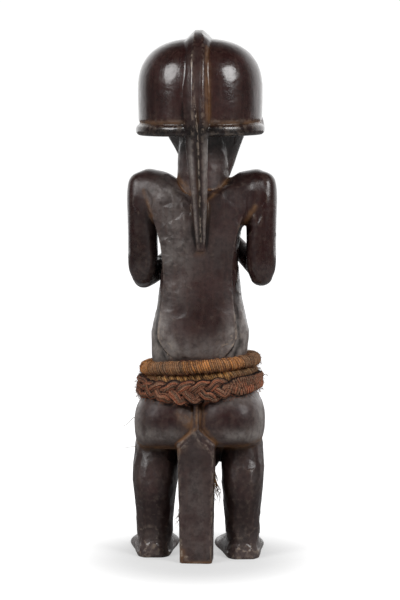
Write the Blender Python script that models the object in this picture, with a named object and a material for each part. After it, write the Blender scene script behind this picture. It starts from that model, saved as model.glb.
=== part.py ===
"""Carved wooden ancestor figure that stands on its two feet and a rear post, girdled with a fibre belt.

The figure faces -Y, its right hand is at -X, and the floor is at Z = 0. The figure is one solid, carved
from one block; the belt is three closed rings of fibre rope that lie round the waist.
"""

import math

import bmesh
import bpy
import numpy as np

# Driving sizes, in metres.
HEIGHT = 0.500  # floor to the top of the crest
UPPER_ROPE_DIAMETER = 0.0122
MIDDLE_ROPE_DIAMETER = 0.0088
MIDDLE_ROPE_PINCH = 0.0048  # what the middle rope loses in diameter where the upper rope bears on it
PLAIT_HEIGHT = 0.0190
PLAIT_PINCH = 0.0050  # what the plait loses in height at the hips
PLAIT_DEPTH = 0.0094
PLAIT_STRAND_RELIEF = 0.0010  # how far the plait's crossings stand out
ROPE_GAP = 0.0004  # clearance of a rope to the wood and to the next rope
POST_TOP_WIDTH = 0.0350
POST_FOOT_WIDTH = 0.0302
POST_DEPTH = 0.0250
POST_EDGE = 0.0022  # chamfer along the post's corners

# The tables are drawn in millimetres for a figure 500 mm high, and follow HEIGHT as its proportions.
UNIT = HEIGHT / 500.0

# Level sections, bottom to top: z, middle x, half width, front y, widest y, back y, fullness.
TORSO = (
    (150, 0, 42.0, -36, -2, 22, 2.2),
    (166, 0, 44.5, -38, -2, 27, 2.2),
    (184, 0.6, 45.4, -41, -2, 31, 2.2),
    (202, 0.4, 46.5, -43, -2, 32, 2.2),
    (214, 0, 46.8, -43, -2, 32, 2.2),
    (228, 0, 44.0, -41, -2, 31, 2.2),
    (244, 0, 40.6, -37, -1, 29, 2.2),
    (262, 0, 38.2, -33, 0, 28, 2.3),
    (284, 0, 36.8, -31, 0, 28, 2.4),
    (306, -1, 38.0, -33, 0, 28, 2.5),
    (326, -2, 40.0, -34, 0, 27, 2.5),
    (342, -2, 36.0, -29, 0, 24, 2.4),
)
PELVIS = (
    (86, 0, 17.0, -26, 0, 16, 2.2),
    (98, 0, 25.0, -30, 0, 20, 2.2),
    (112, -1, 34.0, -34, 0, 24, 2.3),
    (126, -1, 43.0, -38, 0, 28, 2.3),
    (140, -1, 48.0, -40, 0, 32, 2.3),
    (156, -0.2, 46.4, -40, 0, 32, 2.3),
    (172, 0.5, 44.0, -39, 0, 30, 2.3),
)
# One buttock, for a middle x of 0: the pair stands either side of the cleft.
BUTTOCK = (
    (107, 0, 28.0, -22, 8, 36, 2.5),
    (111, 0, 31.5, -28, 8, 43, 2.6),
    (118, 0, 33.2, -32, 8, 48, 2.6),
    (128, 0, 34.0, -34, 8, 51, 2.6),
    (138, 0, 33.4, -34, 8, 51, 2.5),
    (147, 0, 31.0, -34, 8, 48, 2.4),
    (156, 0, 26.0, -33, 8, 42, 2.3),
    (166, 0, 20.0, -30, 8, 34, 2.2),
)
BUTTOCK_MIDDLE = {"left": 27.4, "right": -28.8}
BUTTOCK_LIFT = {"left": -1.0, "right": 1.5}
# One leg, for a middle x of 0: bent knee in front, calf behind, ankle below.
LEG = (
    (9, 0.6, 16.0, -12, 6, 24, 2.3),
    (20, 0.4, 17.4, -14, 8, 26, 2.3),
    (31, 0.2, 17.8, -13, 10, 27, 2.2),
    (44, 0.0, 18.6, -17, 10, 29, 2.2),
    (58, 0.0, 20.0, -25, 9, 32, 2.3),
    (72, 0.0, 21.4, -35, 8, 33, 2.4),
    (85, 0.0, 21.8, -43, 4, 31, 2.4),
    (97, -0.4, 21.4, -46, 0, 27, 2.4),
    (110, -1.0, 20.8, -45, -4, 22, 2.3),
    (122, -3.0, 19.6, -40, -6, 20, 2.2),
)
LEG_MIDDLE = {"left": 42.4, "right": -41.4}
LEG_GIRTH = {"left": 1.0, "right": 0.945}  # shares of the table's half width
# Sections across one foot, heel to toes: y, half width, height, how far the section leans inward.
FOOT = (
    (24, 10.0, 14, 0.0),
    (19, 14.4, 20, 0.0),
    (8, 16.8, 26, 0.0),
    (-6, 19.0, 26, 0.2),
    (-20, 22.0, 20, 0.8),
    (-33, 24.2, 15, 1.2),
    (-45, 23.4, 11, 1.4),
    (-53, 20.0, 9, 1.6),
)
FOOT_MIDDLE = {"left": 42.4, "right": -39.8}
FOOT_TURN = {"left": 5.5, "right": 7.5}  # degrees, towards the figure's left
TOE_GROOVE_DEPTH = 2.4
# The back plate, bottom to top: z, half width, y at its edges, y at its middle.
BACK_PLATE = (
    (183, 16.0, 27.0, 32.0),
    (188, 26.6, 28.5, 34.5),
    (198, 34.4, 30.0, 36.5),
    (210, 37.8, 30.5, 37.5),
    (222, 37.0, 30.0, 37.0),
    (238, 34.8, 28.6, 35.6),
    (254, 33.2, 27.6, 34.6),
    (270, 32.8, 27.4, 34.6),
    (286, 34.0, 28.0, 35.4),
    (300, 36.0, 28.8, 36.6),
    (312, 39.2, 29.6, 37.4),
    (324, 43.4, 29.0, 38.0),
    (336, 48.0, 27.4, 37.6),
    (346, 51.4, 24.6, 35.6),
    (354, 50.0, 20.0, 31.0),
)
PLATE_ROOT = 4.0  # y inside the trunk to which the plate's sides run in
PLATE_NOTCH_DEPTH = 15.0  # the V that its upper end leaves for the neck
PLATE_NOTCH_HALF_WIDTH = 25.0
PLATE_NOTCH_FOOT_Z = 316.0
# Sections across the shoulders, left to right: x, front y, back y, bottom z, top z.
SHOULDERS = (
    (61.6, -3, 18, 327, 361),
    (52, -12, 24, 320, 368),
    (40, -21, 29, 314, 367),
    (28, -26, 32, 306, 363),
    (14, -28, 33, 300, 352),
    (-3, -28, 33, 300, 344),
    (-19, -28, 33, 300, 352),
    (-33, -26, 32, 306, 363),
    (-45, -21, 29, 317, 366.5),
    (-57, -12, 24, 323, 367.5),
    (-66.4, -3, 18, 330, 360),
)
# One upper arm, for a middle x of 0: z, half width, front y, widest y, back y.
UPPER_ARM = (
    (266.5, 10.2, -6, 7, 19),
    (272.5, 12.8, -8, 8, 22),
    (284, 14.0, -9, 8, 23.5),
    (302, 14.0, -9, 8, 24),
    (322, 14.2, -9, 8, 24.5),
    (340, 14.6, -9, 8, 24.5),
    (354, 13.6, -7, 8, 22),
)
ARM_MIDDLE = {"left": 53.8, "right": -58.8}
# Forearms, elbow to wrist: x, y, z, half width, half height. The left one lies lower.
FOREARM = {
    "left": (
        (55, 5, 266, 10.5, 11.0),
        (46, -12, 271, 9.6, 10.6),
        (34, -29, 282, 8.6, 9.2),
        (22, -39, 298, 7.4, 7.6),
    ),
    "right": (
        (-60, 5, 270, 10.4, 11.0),
        (-49.5, -12, 280, 9.0, 10.2),
        (-36, -29, 292, 8.4, 9.0),
        (-23, -39, 306, 7.4, 7.6),
    ),
}
# Hands laid together on the breast: wrist, palm and fingertips as x, y, z, half width, half thickness.
HAND = {
    "left": ((22, -38, 297, 8.0, 6.0), (13, -41, 307, 10.5, 7.0), (3.5, -42, 319, 8.8, 5.8)),
    "right": ((-23, -38, 305, 8.0, 6.0), (-13, -42, 315, 10.5, 7.0), (-3.5, -44, 327, 8.8, 5.8)),
}
NECK = (
    (322, -2.6, 24.6, -18, 3, 27, 2.1),
    (345, -2.8, 24.2, -18, 3, 26, 2.1),
    (366, -2.9, 23.9, -20, 2, 25, 2.1),
    (382, -2.9, 23.9, -24, 1, 26, 2.1),
    (393, -3.6, 24.4, -28, 0, 29, 2.1),
    (403, -4.2, 27.2, -30, 0, 34, 2.1),
    (414, -2.9, 33.0, -30, 0, 36, 2.1),
)
# The face and skull, chin to forehead: z, half width, front y, widest y, back y, fullness.
SKULL = (
    (356, 13.0, -47, -30, -14, 2.2),
    (361, 18.0, -53, -30, -8, 2.2),
    (368, 21.5, -56, -28, 0, 2.2),
    (377, 25.6, -57, -24, 6, 2.2),
    (388, 30.4, -55, -18, 12, 2.2),
    (400, 36.0, -53, -12, 20, 2.2),
    (414, 41.0, -53, -8, 28, 2.2),
    (428, 43.5, -55, -6, 32, 2.3),
    (442, 44.0, -56.5, -6, 34, 2.3),
    (456, 42.0, -55.5, -6, 34, 2.3),
    (468, 36.0, -50, -6, 30, 2.2),
    (476, 27.0, -41, -6, 24, 2.1),
)
FACE_HOLLOW = 7.5
BROW = 2.6
BROW_Z = 430.0
NOSE_LENGTH = 10.5
NOSE_TIP_Z = 398.0
EYE = 4.6
EYE_Z = 415.0
LIP = 4.4
MOUTH_Z = 381.0
FACE_TURN = 6.0  # degrees, towards the figure's right
FACE_SHIFT = -3.0
# The coiffure: a helmet-shaped dome over a rolled brim that rises from the nape to the forehead.
HEAD_MIDDLE_Y = 4.5
DOME_HALF_WIDTH = 58.2
DOME_HALF_DEPTH = 55.0
COIFFURE_HEIGHT = 88.0  # from the brim at the nape to the top of the dome
DOME_FULLNESS = 2.6  # of its side view; 2 is an ellipse and more is squarer
HEAD_ROUNDNESS = 2.15  # the same for its level sections
DOME_TAPER = 1.6  # how much narrower the dome is where it meets the brim
BRIM_BACK_Z = 402.5
# What is higher than that, here and in the tables, is drawn for a coiffure 88 high and follows its height.
COIFFURE_UNIT = COIFFURE_HEIGHT / 88.0
DOME_TOP_Z = BRIM_BACK_Z + COIFFURE_HEIGHT
DOME_WIDEST_Z = BRIM_BACK_Z + 37.5 * COIFFURE_UNIT
BRIM_SIDE_Z = BRIM_BACK_Z + 5.0 * COIFFURE_UNIT
BRIM_FRONT_Z = BRIM_BACK_Z + 60.5 * COIFFURE_UNIT
BRIM_HALF_HEIGHT = 6.3
BRIM_HALF_DEPTH = 5.2
BRIM_INSET = 3.4  # the roll's middle lies this far inside the dome's face
HELMET_HOLLOW_Z = BRIM_BACK_Z + 22.5 * COIFFURE_UNIT  # roof of the hollow between the brim and the neck
# The crest, forehead to tail: y and z of its outer edge, x, half widths of its root and edge, depth.
CREST = (
    (-50, 458, 0.0, 5.0, 2.6, 9),
    (-51.5, 472, 0.0, 8.4, 3.6, 12),
    (-45, 486, 0.2, 10.2, 3.4, 14),
    (-31, 495, 0.2, 11.4, 3.4, 15),
    (-13, 499.4, 0.0, 12.2, 3.4, 15),
    (5, 500, -0.2, 12.6, 3.4, 15),
    (25, 496.5, -0.6, 12.2, 3.4, 15),
    (44, 487, -1.0, 10.8, 3.9, 15),
    (57.6, 470, -1.2, 10.0, 4.4, 14),
    (63.6, 448, -1.3, 9.8, 4.4, 13),
    (65.0, 425, -1.4, 9.7, 4.5, 13),
    (64.2, 405, -1.5, 9.6, 4.5, 13),
    (61.4, 388, -1.6, 9.2, 4.4, 11),
    (56.8, 368, -1.9, 8.4, 4.2, 10),
    (51.0, 348, -2.2, 7.4, 3.9, 10),
    (45.4, 328, -2.6, 6.2, 3.5, 10),
    (41.6, 308, -3.0, 4.8, 2.9, 9),
    (38.6, 291, -3.3, 3.0, 1.9, 7),
)
NAVEL = (0.0, -41.0, 214.0)  # x, y, z of its root
NAVEL_RADIUS = 6.0
NAVEL_LENGTH = 7.0
# The post's back face, and the spine that runs up from it into the cleft.
POST_BACK_Y = 48.5
POST_TOP_Z = 116.0
POST_LEAN_X = 0.0
SPINE_TOP_Z = 160.0
SPINE_HALF_WIDTH = 3.0

# The belt's upper rope slopes up to the figure's right; the others hang below it.
BELT_Z = 183.2
BELT_SLOPE = -0.085
PLAIT_CROSSINGS = 24
WAIST_HALF_WIDTH = 55.0  # about how far the belt reaches to each side
BELT_POINTS = 48
BELT_ZONE = (135.0, 200.0)  # heights between which the wood can touch the belt

# How finely each form is meshed: sections along it, and points round each section.
MESH = {
    "torso": (14, 20),
    "pelvis": (8, 18),
    "buttock": (8, 16),
    "leg": (10, 14),
    "foot": (9, 9),
    "back_plate": (15, 7),
    "shoulders": (15, 12),
    "upper_arm": (6, 10),
    "forearm": (6, 8),
    "hand": (5, 8),
    "neck": (7, 14),
    "skull": (27, 22),
    "dome": (9, 26),
    "brim": (28, 6),
    "crest": (22, 8),
}

WOOD_DARK = (0.020, 0.011, 0.009, 1.0)
FIBRE_OCHRE = (0.150, 0.062, 0.026, 1.0)
FIBRE_BROWN = (0.085, 0.038, 0.022, 1.0)
FIBRE_RUST = (0.080, 0.032, 0.019, 1.0)


def clear_scene():
    for obj in list(bpy.data.objects):
        bpy.data.objects.remove(obj)


def material(name, colour, roughness):
    made = bpy.data.materials.new(name)
    made.use_nodes = True
    shader = made.node_tree.nodes["Principled BSDF"]
    shader.inputs["Base Color"].default_value = colour
    shader.inputs["Roughness"].default_value = roughness
    shader.inputs["Metallic"].default_value = 0.0
    return made


def through(rows, count):
    """Count rows on a smooth curve through the table's rows (a Hermite spline over the row number)."""
    rows = np.array(rows, float)
    slope = np.gradient(rows, axis=0)
    at = np.linspace(0, len(rows) - 1, count)
    low = np.minimum(at.astype(int), len(rows) - 2)
    t = (at - low)[:, None]
    before, after = rows[low], rows[low + 1]
    return (
        (2 * t**3 - 3 * t**2 + 1) * before
        + (t**3 - 2 * t**2 + t) * slope[low]
        + (3 * t**2 - 2 * t**3) * after
        + (t**3 - t**2) * slope[low + 1]
    )


def circle(count, first=0.0):
    """Cosines and sines of count directions round a circle, from the first one, counted in steps."""
    angle = (np.arange(count) + first) * 2 * math.pi / count
    return np.cos(angle), np.sin(angle)


def full(value, fullness):
    """A circle's coordinate turned into that of a superellipse."""
    return np.sign(value) * np.abs(value) ** (2.0 / fullness)


def level_rings(rows, rings, points):
    """Level rings of a table of z, x, half width, front, widest, back and fullness."""
    z, x, half, front, widest, back, fullness = (c[:, None] for c in through(rows, rings).T)
    c, s = circle(points)
    depth = np.where(s > 0, back - widest, widest - front)
    return np.stack(
        [x + half * full(c, fullness), widest + depth * full(s, fullness), z + 0 * c], axis=2
    )


def rounded(rings, start, end, steps):
    """The rings with domed ends that reach start and end beyond the first and last ring."""
    out = [rings]
    ends = ((start, rings[0], rings[1], True), (end, rings[-1], rings[-2], False))
    for reach, edge, inner, at_start in ends:
        if not reach:
            continue
        middle = edge.mean(0)
        way = middle - inner.mean(0)
        way /= np.linalg.norm(way)
        turns = np.linspace(0, math.pi / 2, steps + 1)[1:-1]
        cap = np.stack([middle + (edge - middle) * math.cos(t) + way * reach * math.sin(t) for t in turns])
        tip = np.repeat((middle + way * reach)[None, None], edge.shape[0], axis=1)
        cap = np.concatenate([cap, tip])
        out = [cap[::-1]] + out if at_start else out + [cap]
    return np.concatenate(out)


def placed(name, bm):
    """The closed bmesh as an object in the scene, in flat triangles that point out."""
    bmesh.ops.triangulate(bm, faces=bm.faces)
    bmesh.ops.recalc_face_normals(bm, faces=bm.faces)
    if bm.calc_volume(signed=True) < 0:
        bmesh.ops.reverse_faces(bm, faces=bm.faces)
    mesh = bpy.data.meshes.new(name)
    bm.to_mesh(mesh)
    bm.free()
    obj = bpy.data.objects.new(name, mesh)
    bpy.context.scene.collection.objects.link(obj)
    return obj


def turned(points, degrees):
    """The points turned about +Z, so that what faces -Y turns towards +X."""
    turn = math.radians(degrees)
    spin = np.array([[math.cos(turn), math.sin(turn), 0], [-math.sin(turn), math.cos(turn), 0], [0, 0, 1]])
    return points @ spin


def closed_mesh(name, rings, scale=UNIT):
    """A closed mesh on rings of points. A first or last ring that is one point becomes a pole."""
    bm = bmesh.new()
    loops = []
    for ring in rings * scale:
        if np.ptp(ring, axis=0).max() < 1e-7:
            loops.append([bm.verts.new(ring[0])])
        else:
            loops.append([bm.verts.new(p) for p in ring])
    for low, high in zip(loops, loops[1:]):
        count = max(len(low), len(high))
        for i in range(count):
            j = (i + 1) % count
            if len(low) == 1:
                bm.faces.new((low[0], high[j], high[i]))
            elif len(high) == 1:
                bm.faces.new((low[i], low[j], high[0]))
            else:
                bm.faces.new((low[i], low[j], high[j], high[i]))
    for loop in (loops[0], loops[-1]):
        if len(loop) > 1:
            bm.faces.new(loop)
    return placed(name, bm)


def closed_ring(name, rings):
    """A closed mesh on rings that follow one another round a loop, in metres."""
    bm = bmesh.new()
    loops = [[bm.verts.new(p) for p in ring] for ring in rings]
    for low, high in zip(loops, loops[1:] + loops[:1]):
        for i in range(len(low)):
            j = (i + 1) % len(low)
            bm.faces.new((low[i], low[j], high[j], high[i]))
    return placed(name, bm)


def torso_rings():
    return rounded(level_rings(TORSO, *MESH["torso"]), 0, 12, 2)


def pelvis_rings():
    return rounded(level_rings(PELVIS, *MESH["pelvis"]), 6, 0, 2)


def buttock_rings(side):
    rings = rounded(level_rings(BUTTOCK, *MESH["buttock"]), 2.5, 6, 2)
    return rings + np.array([BUTTOCK_MIDDLE[side], 0, BUTTOCK_LIFT[side]])


def leg_rings(side):
    """The leg; its table leans towards the middle, so the left leg takes it mirrored."""
    rings = rounded(level_rings(LEG, *MESH["leg"]), 0, 8, 2)
    mirror = 1 if side == "left" else -1
    return rings * np.array([mirror * LEG_GIRTH[side], 1, 1]) + np.array([LEG_MIDDLE[side], 0, 0])


def foot_rings(side):
    """The foot as sections across it: a flat sole under a rounded instep, with grooves between the toes."""
    sections, points = MESH["foot"]
    y, half, height, lean = (c[:, None] for c in through(FOOT, sections).T)
    angle = np.linspace(0, math.pi, points)
    c, s = np.cos(angle), np.sin(angle)
    toes = np.clip((-40 - y) / 12, 0, 1) * TOE_GROOVE_DEPTH
    groove = toes * (0.5 + 0.5 * np.cos(c * math.pi * 5)) * (np.abs(c) < 0.98)
    x = half * c * (1 - 0.14 * s) - lean * s
    z = 2.0 + (height - 2.0) * full(s, 2.5) - groove * s
    top = np.stack([x, y + 0 * c, z], axis=2)
    sole = np.stack([half * c * 0.93, y + 0 * c, 0 * z], axis=2)[:, ::-1]
    rings = rounded(np.concatenate([top, sole], axis=1), 3, 4, 2)
    rings[..., 2] = np.maximum(rings[..., 2], 0)
    mirror = 1 if side == "left" else -1
    rings = rings * np.array([mirror, 1, 1])
    return turned(rings, FOOT_TURN[side]) + np.array([FOOT_MIDDLE[side], 0, 0])


def plate_rings():
    """The back plate: a bowed back face between two sharp edges, with its sides run into the trunk."""
    sections, points = MESH["back_plate"]
    z, half, edge, middle = (c[:, None] for c in through(BACK_PLATE, sections).T)
    across = np.linspace(1, -1, points)
    notch = PLATE_NOTCH_DEPTH * np.clip((z - PLATE_NOTCH_FOOT_Z) / (z.max() - PLATE_NOTCH_FOOT_Z), 0, 1)
    lowered = notch * np.clip(1 - np.abs(half * across) / PLATE_NOTCH_HALF_WIDTH, 0, 1)
    back = np.stack([half * across, edge + (middle - edge) * (1 - across**2), z - lowered], axis=2)
    inside = np.linspace(-1, 1, 3)
    root = np.stack([0.9 * half * inside, PLATE_ROOT + 0 * inside + 0 * z, z - notch + 0 * inside], axis=2)
    return np.concatenate([back, root], axis=1)


def shoulder_rings():
    sections, points = MESH["shoulders"]
    x, front, back, bottom, top = (c[:, None] for c in through(SHOULDERS, sections).T)
    c, s = circle(points)
    fullness = 2.7
    y = (front + back) / 2 + (back - front) / 2 * full(c, fullness)
    z = (bottom + top) / 2 + (top - bottom) / 2 * full(s, fullness)
    # The top falls away to the back, so that the plate's upper end rolls over.
    z = z - 5.0 * np.clip(s, 0, 1) * np.clip(c, -0.2, 1)
    return rounded(np.stack([x + 0 * c, y, z], axis=2), 7, 7, 3)


def upper_arm_rings(side):
    sections, points = MESH["upper_arm"]
    z, half, front, widest, back = (c[:, None] for c in through(UPPER_ARM, sections).T)
    c, s = circle(points)
    depth = np.where(s > 0, back - widest, widest - front)
    rings = np.stack([half * full(c, 2.3), widest + depth * full(s, 2.3), z + 0 * c], axis=2)
    return rounded(rings, 8.5, 12, 3) + np.array([ARM_MIDDLE[side], 0, 0])


def carried_rings(rows, rings, points, fullness=2.2):
    """Rings carried along the rows' own line: x, y, z, half width and half height."""
    table = through(rows, rings)
    line, half, high = table[:, :3], table[:, 3, None, None], table[:, 4, None, None]
    way = np.gradient(line, axis=0)
    way /= np.linalg.norm(way, axis=1)[:, None]
    across = np.cross(way, (0, 0, 1.0))
    across /= np.linalg.norm(across, axis=1)[:, None]
    up = np.cross(across, way)
    c, s = circle(points)
    return (
        line[:, None]
        + across[:, None] * full(c, fullness)[None, :, None] * half
        + up[:, None] * full(s, fullness)[None, :, None] * high
    )


def forearm_rings(side):
    return rounded(carried_rings(FOREARM[side], *MESH["forearm"]), 5, 4, 2)


def hand_rings(side):
    return rounded(carried_rings(HAND[side], *MESH["hand"], 2.6), 4, 6, 2)


def neck_rings():
    return level_rings(NECK, *MESH["neck"])


def face_relief(x, z):
    """How far the carved features stand in front of the smooth face, with its hollows below nought."""

    def bump(cx, cz, wide, high):
        return np.exp(-(((x - cx) / wide) ** 2) - ((z - cz) / high) ** 2)

    def pair(cx, cz, wide, high):
        return bump(-cx, cz, wide, high) + bump(cx, cz, wide, high)

    bridge_z = BROW_Z + 2
    hollow = FACE_HOLLOW * pair(15.5, BROW_Z - 22, 11.5, 19)
    brow = BROW * (pair(9, BROW_Z, 9, 4.2) + pair(20, BROW_Z - 2, 8, 4.2))
    down = np.clip((bridge_z - z) / (bridge_z - NOSE_TIP_Z), 0, 1)
    nose = (0.25 + 0.75 * down) * NOSE_LENGTH * np.exp(-((x / (2.8 + 3.6 * down**3)) ** 2))
    nose = nose * (1 / (1 + np.exp((NOSE_TIP_Z - 1.5 - z) / 0.8))) * (z < bridge_z + 2)
    eyes = EYE * pair(14.5, EYE_Z, 7.5, 4.2)
    lips = LIP * (bump(0, MOUTH_Z + 3.2, 13.5, 2.7) + bump(0, MOUTH_Z - 3.4, 12.0, 2.9))
    chin = 2.0 * bump(0, 364, 13, 5)
    return brow + nose + eyes + lips + chin - hollow


def skull_rings():
    sections, points = MESH["skull"]
    z, half, front, widest, back, fullness = (c[:, None] for c in through(SKULL, sections).T)
    behind = np.linspace(0, math.pi, points // 3)[:-1]
    before = np.linspace(math.pi, 2 * math.pi, points)[:-1]
    angle = np.concatenate([behind, before])
    c, s = np.cos(angle), np.sin(angle)
    depth = np.where(s > 0, back - widest, widest - front)
    x, y = half * full(c, fullness), widest + depth * full(s, fullness)
    facing = np.clip(-s, 0, 1) ** 1.5
    y = y - face_relief(x, z) * facing
    rings = np.stack([x, y, risen(z) + 0 * c], axis=2)
    rings = rounded(rings, 4, 5, 2)
    middle = np.array([0, HEAD_MIDDLE_Y, 0])
    return turned(rings - middle, -FACE_TURN) + middle + np.array([FACE_SHIFT, 0, 0])


def risen(z):
    """Heights of the tables as the coiffure's own height has them, from the nape's brim up."""
    return z + (COIFFURE_UNIT - 1) * np.maximum(z - BRIM_BACK_Z, 0)


def dome_share(z):
    """The dome's half width at a height, as a share of its greatest."""
    up = np.clip((z - DOME_WIDEST_Z) / (DOME_TOP_Z - DOME_WIDEST_Z), 0, 1)
    down = np.clip((DOME_WIDEST_Z - z) / (DOME_WIDEST_Z - BRIM_BACK_Z), 0, 1.2)
    above = (1 - up**DOME_FULLNESS) ** (1 / DOME_FULLNESS)
    return above - DOME_TAPER / DOME_HALF_WIDTH * down**2


def brim_line(count, first):
    """Directions round the head and the brim's height there, from the left side by way of the back."""
    c, s = circle(count, first)
    rise = np.where(
        s > 0,
        BRIM_SIDE_Z + (BRIM_BACK_Z - BRIM_SIDE_Z) * s,
        BRIM_SIDE_Z + (BRIM_FRONT_Z - BRIM_SIDE_Z) * np.clip((-s - 0.05) / 0.95, 0, 1) ** 1.5,
    )
    return c, s, rise


def dome_rings():
    """The dome from the crown down to the brim, then up again under it to close the solid."""
    sections, points = MESH["dome"]
    c, s, rim = brim_line(points, 0.0)
    share = np.sin(np.linspace(0, math.pi / 2, sections))[1:, None]
    z = DOME_TOP_Z - (DOME_TOP_Z - rim) * (1 - np.sqrt(1 - share**2)) ** 0.72
    wide = dome_share(z)
    x = DOME_HALF_WIDTH * wide * full(c, HEAD_ROUNDNESS)
    y = DOME_HALF_DEPTH * wide * full(s, HEAD_ROUNDNESS)
    outer = np.stack([x, y, z], axis=2)
    crown = np.repeat(np.array([[[0.0, 0.0, DOME_TOP_Z]]]), len(c), axis=1)
    under = outer[-1:] * np.array([0.76, 0.76, 1.0])
    inner = np.repeat(np.array([[[0.0, -2.0, HELMET_HOLLOW_Z + 8]]]), len(c), axis=1)
    return np.concatenate([crown, outer, under, inner]) + np.array([0, HEAD_MIDDLE_Y, 0])


def brim_rings():
    sections, points = MESH["brim"]
    c, s, z = brim_line(sections, 0.5)
    wide = dome_share(z)
    x = (DOME_HALF_WIDTH * wide - BRIM_INSET) * full(c, HEAD_ROUNDNESS)
    y = (DOME_HALF_DEPTH * wide - BRIM_INSET) * full(s, HEAD_ROUNDNESS) + HEAD_MIDDLE_Y
    line = np.stack([x, y, z], axis=1)
    out = np.stack([c, s, 0 * c], axis=1)
    way = np.roll(line, -1, axis=0) - np.roll(line, 1, axis=0)
    way /= np.linalg.norm(way, axis=1)[:, None]
    up = np.cross(out, way)
    up /= np.linalg.norm(up, axis=1)[:, None]
    out = np.cross(way, up)
    k, m = circle(points)
    return (
        line[:, None]
        + out[:, None] * BRIM_HALF_DEPTH * k[None, :, None]
        + up[:, None] * BRIM_HALF_HEIGHT * m[None, :, None]
    )


def crest_rings():
    """The crest and its tail: a keel with sloping flanks, narrower at its outer edge than at its root."""
    y, z, x, root, edge, depth = through(CREST, MESH["crest"][0]).T
    line = np.stack([x, y, risen(z)], axis=1)
    way = np.gradient(line, axis=0)
    way /= np.linalg.norm(way, axis=1)[:, None]
    across = np.array([[1.0, 0, 0]])
    inward = np.cross(way, across)
    inward /= np.linalg.norm(inward, axis=1)[:, None]
    steps = (
        (edge, 0.9 + 0 * depth), (edge * 0.5, 0 * depth), (-edge * 0.5, 0 * depth), (-edge, 0.9 + 0 * depth),
        (-root, depth * 0.62), (-root, depth), (root, depth), (root, depth * 0.62),
    )
    return np.stack([line + across * w[:, None] + inward * d[:, None] for w, d in steps], axis=1)


def navel_rings():
    x, y, z = NAVEL
    c, s = circle(10)
    radius = np.array([1.25, 1.0, 0.92, 0.6])[:, None] * NAVEL_RADIUS
    reach = np.array([-4.0, 0.5, 0.75 * NAVEL_LENGTH, NAVEL_LENGTH])[:, None]
    return np.stack([x + radius * c, y - reach + 0 * c, z + radius * s], axis=2)


def post_rings():
    """The post from the floor to the buttocks, and the narrow spine that runs on up into the cleft."""
    foot, top, depth, edge = np.array([POST_FOOT_WIDTH, POST_TOP_WIDTH, POST_DEPTH, POST_EDGE]) / UNIT
    rows = (
        (0, foot / 2, POST_BACK_Y, depth),
        (POST_TOP_Z / 2, (foot + top) / 4, POST_BACK_Y, depth),
        (POST_TOP_Z - 10, top / 2, POST_BACK_Y, depth),
        (POST_TOP_Z - 5, top / 2 - 1, POST_BACK_Y, depth),
        (POST_TOP_Z + 2, top / 4, POST_BACK_Y - 0.5, depth),
        (POST_TOP_Z + 9, SPINE_HALF_WIDTH, POST_BACK_Y - 2, depth),
        (SPINE_TOP_Z - 12, 0.9 * SPINE_HALF_WIDTH, POST_BACK_Y - 6, depth),
        (SPINE_TOP_Z, 0.8 * SPINE_HALF_WIDTH, POST_BACK_Y - 14, 0.7 * depth),
    )
    rings = []
    for z, half, back, deep in rows:
        cut = min(edge, half * 0.45)
        front = back - deep
        side = [(half, back - cut), (half - cut, back), (cut - half, back), (-half, back - cut)]
        side += [(-half, front + cut), (cut - half, front), (half - cut, front), (half, front + cut)]
        rings.append([(x + POST_LEAN_X, y, z) for x, y in side])
    return np.array(rings, float)


def carved_forms():
    """Every form joined to the torso, by name, as rings in table units."""
    forms = {
        "pelvis": pelvis_rings(),
        "back_plate": plate_rings(),
        "shoulders": shoulder_rings(),
        "neck": neck_rings(),
        "skull": skull_rings(),
        "dome": dome_rings(),
        "crest": crest_rings(),
        "navel": navel_rings(),
        "post": post_rings(),
    }
    for side in ("left", "right"):
        forms[f"buttock_{side}"] = buttock_rings(side)
        forms[f"leg_{side}"] = leg_rings(side)
        forms[f"foot_{side}"] = foot_rings(side)
        forms[f"upper_arm_{side}"] = upper_arm_rings(side)
        forms[f"forearm_{side}"] = forearm_rings(side)
        forms[f"hand_{side}"] = hand_rings(side)
    return forms


def unite(base, others):
    for other in others:
        other.hide_render = True
        other.display_type = "WIRE"
        joined = base.modifiers.new(f"with_{other.name}", "BOOLEAN")
        joined.operation = "UNION"
        joined.solver = "EXACT"
        joined.object = other


def carve_figure(wood):
    """The carved figure: its torso with every other form joined to it."""
    figure = closed_mesh("figure", torso_rings())
    forms = carved_forms()
    others = [closed_mesh(f"form_{name}", rings) for name, rings in forms.items()]
    others.append(closed_ring("form_brim", brim_rings() * UNIT))
    unite(figure, others)
    figure.data.materials.append(wood)
    return figure


def waist_points(figure):
    """Points all over the carving's finished faces near the belt, in metres."""
    evaluated = figure.evaluated_get(bpy.context.evaluated_depsgraph_get())
    mesh = evaluated.to_mesh()
    mesh.calc_loop_triangles()
    corners = np.array([v.co for v in mesh.vertices])
    faces = corners[np.array([t.vertices for t in mesh.loop_triangles])]
    evaluated.to_mesh_clear()
    low, high = BELT_ZONE
    near = (faces[:, :, 2].max(1) > low * UNIT) & (faces[:, :, 2].min(1) < high * UNIT)
    steps = 9
    shares = np.array([(a, b, steps - a - b) for a in range(steps + 1) for b in range(steps + 1 - a)]) / steps
    return np.einsum("ka,fad->fkd", shares, faces[near]).reshape(-1, 3)


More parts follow.
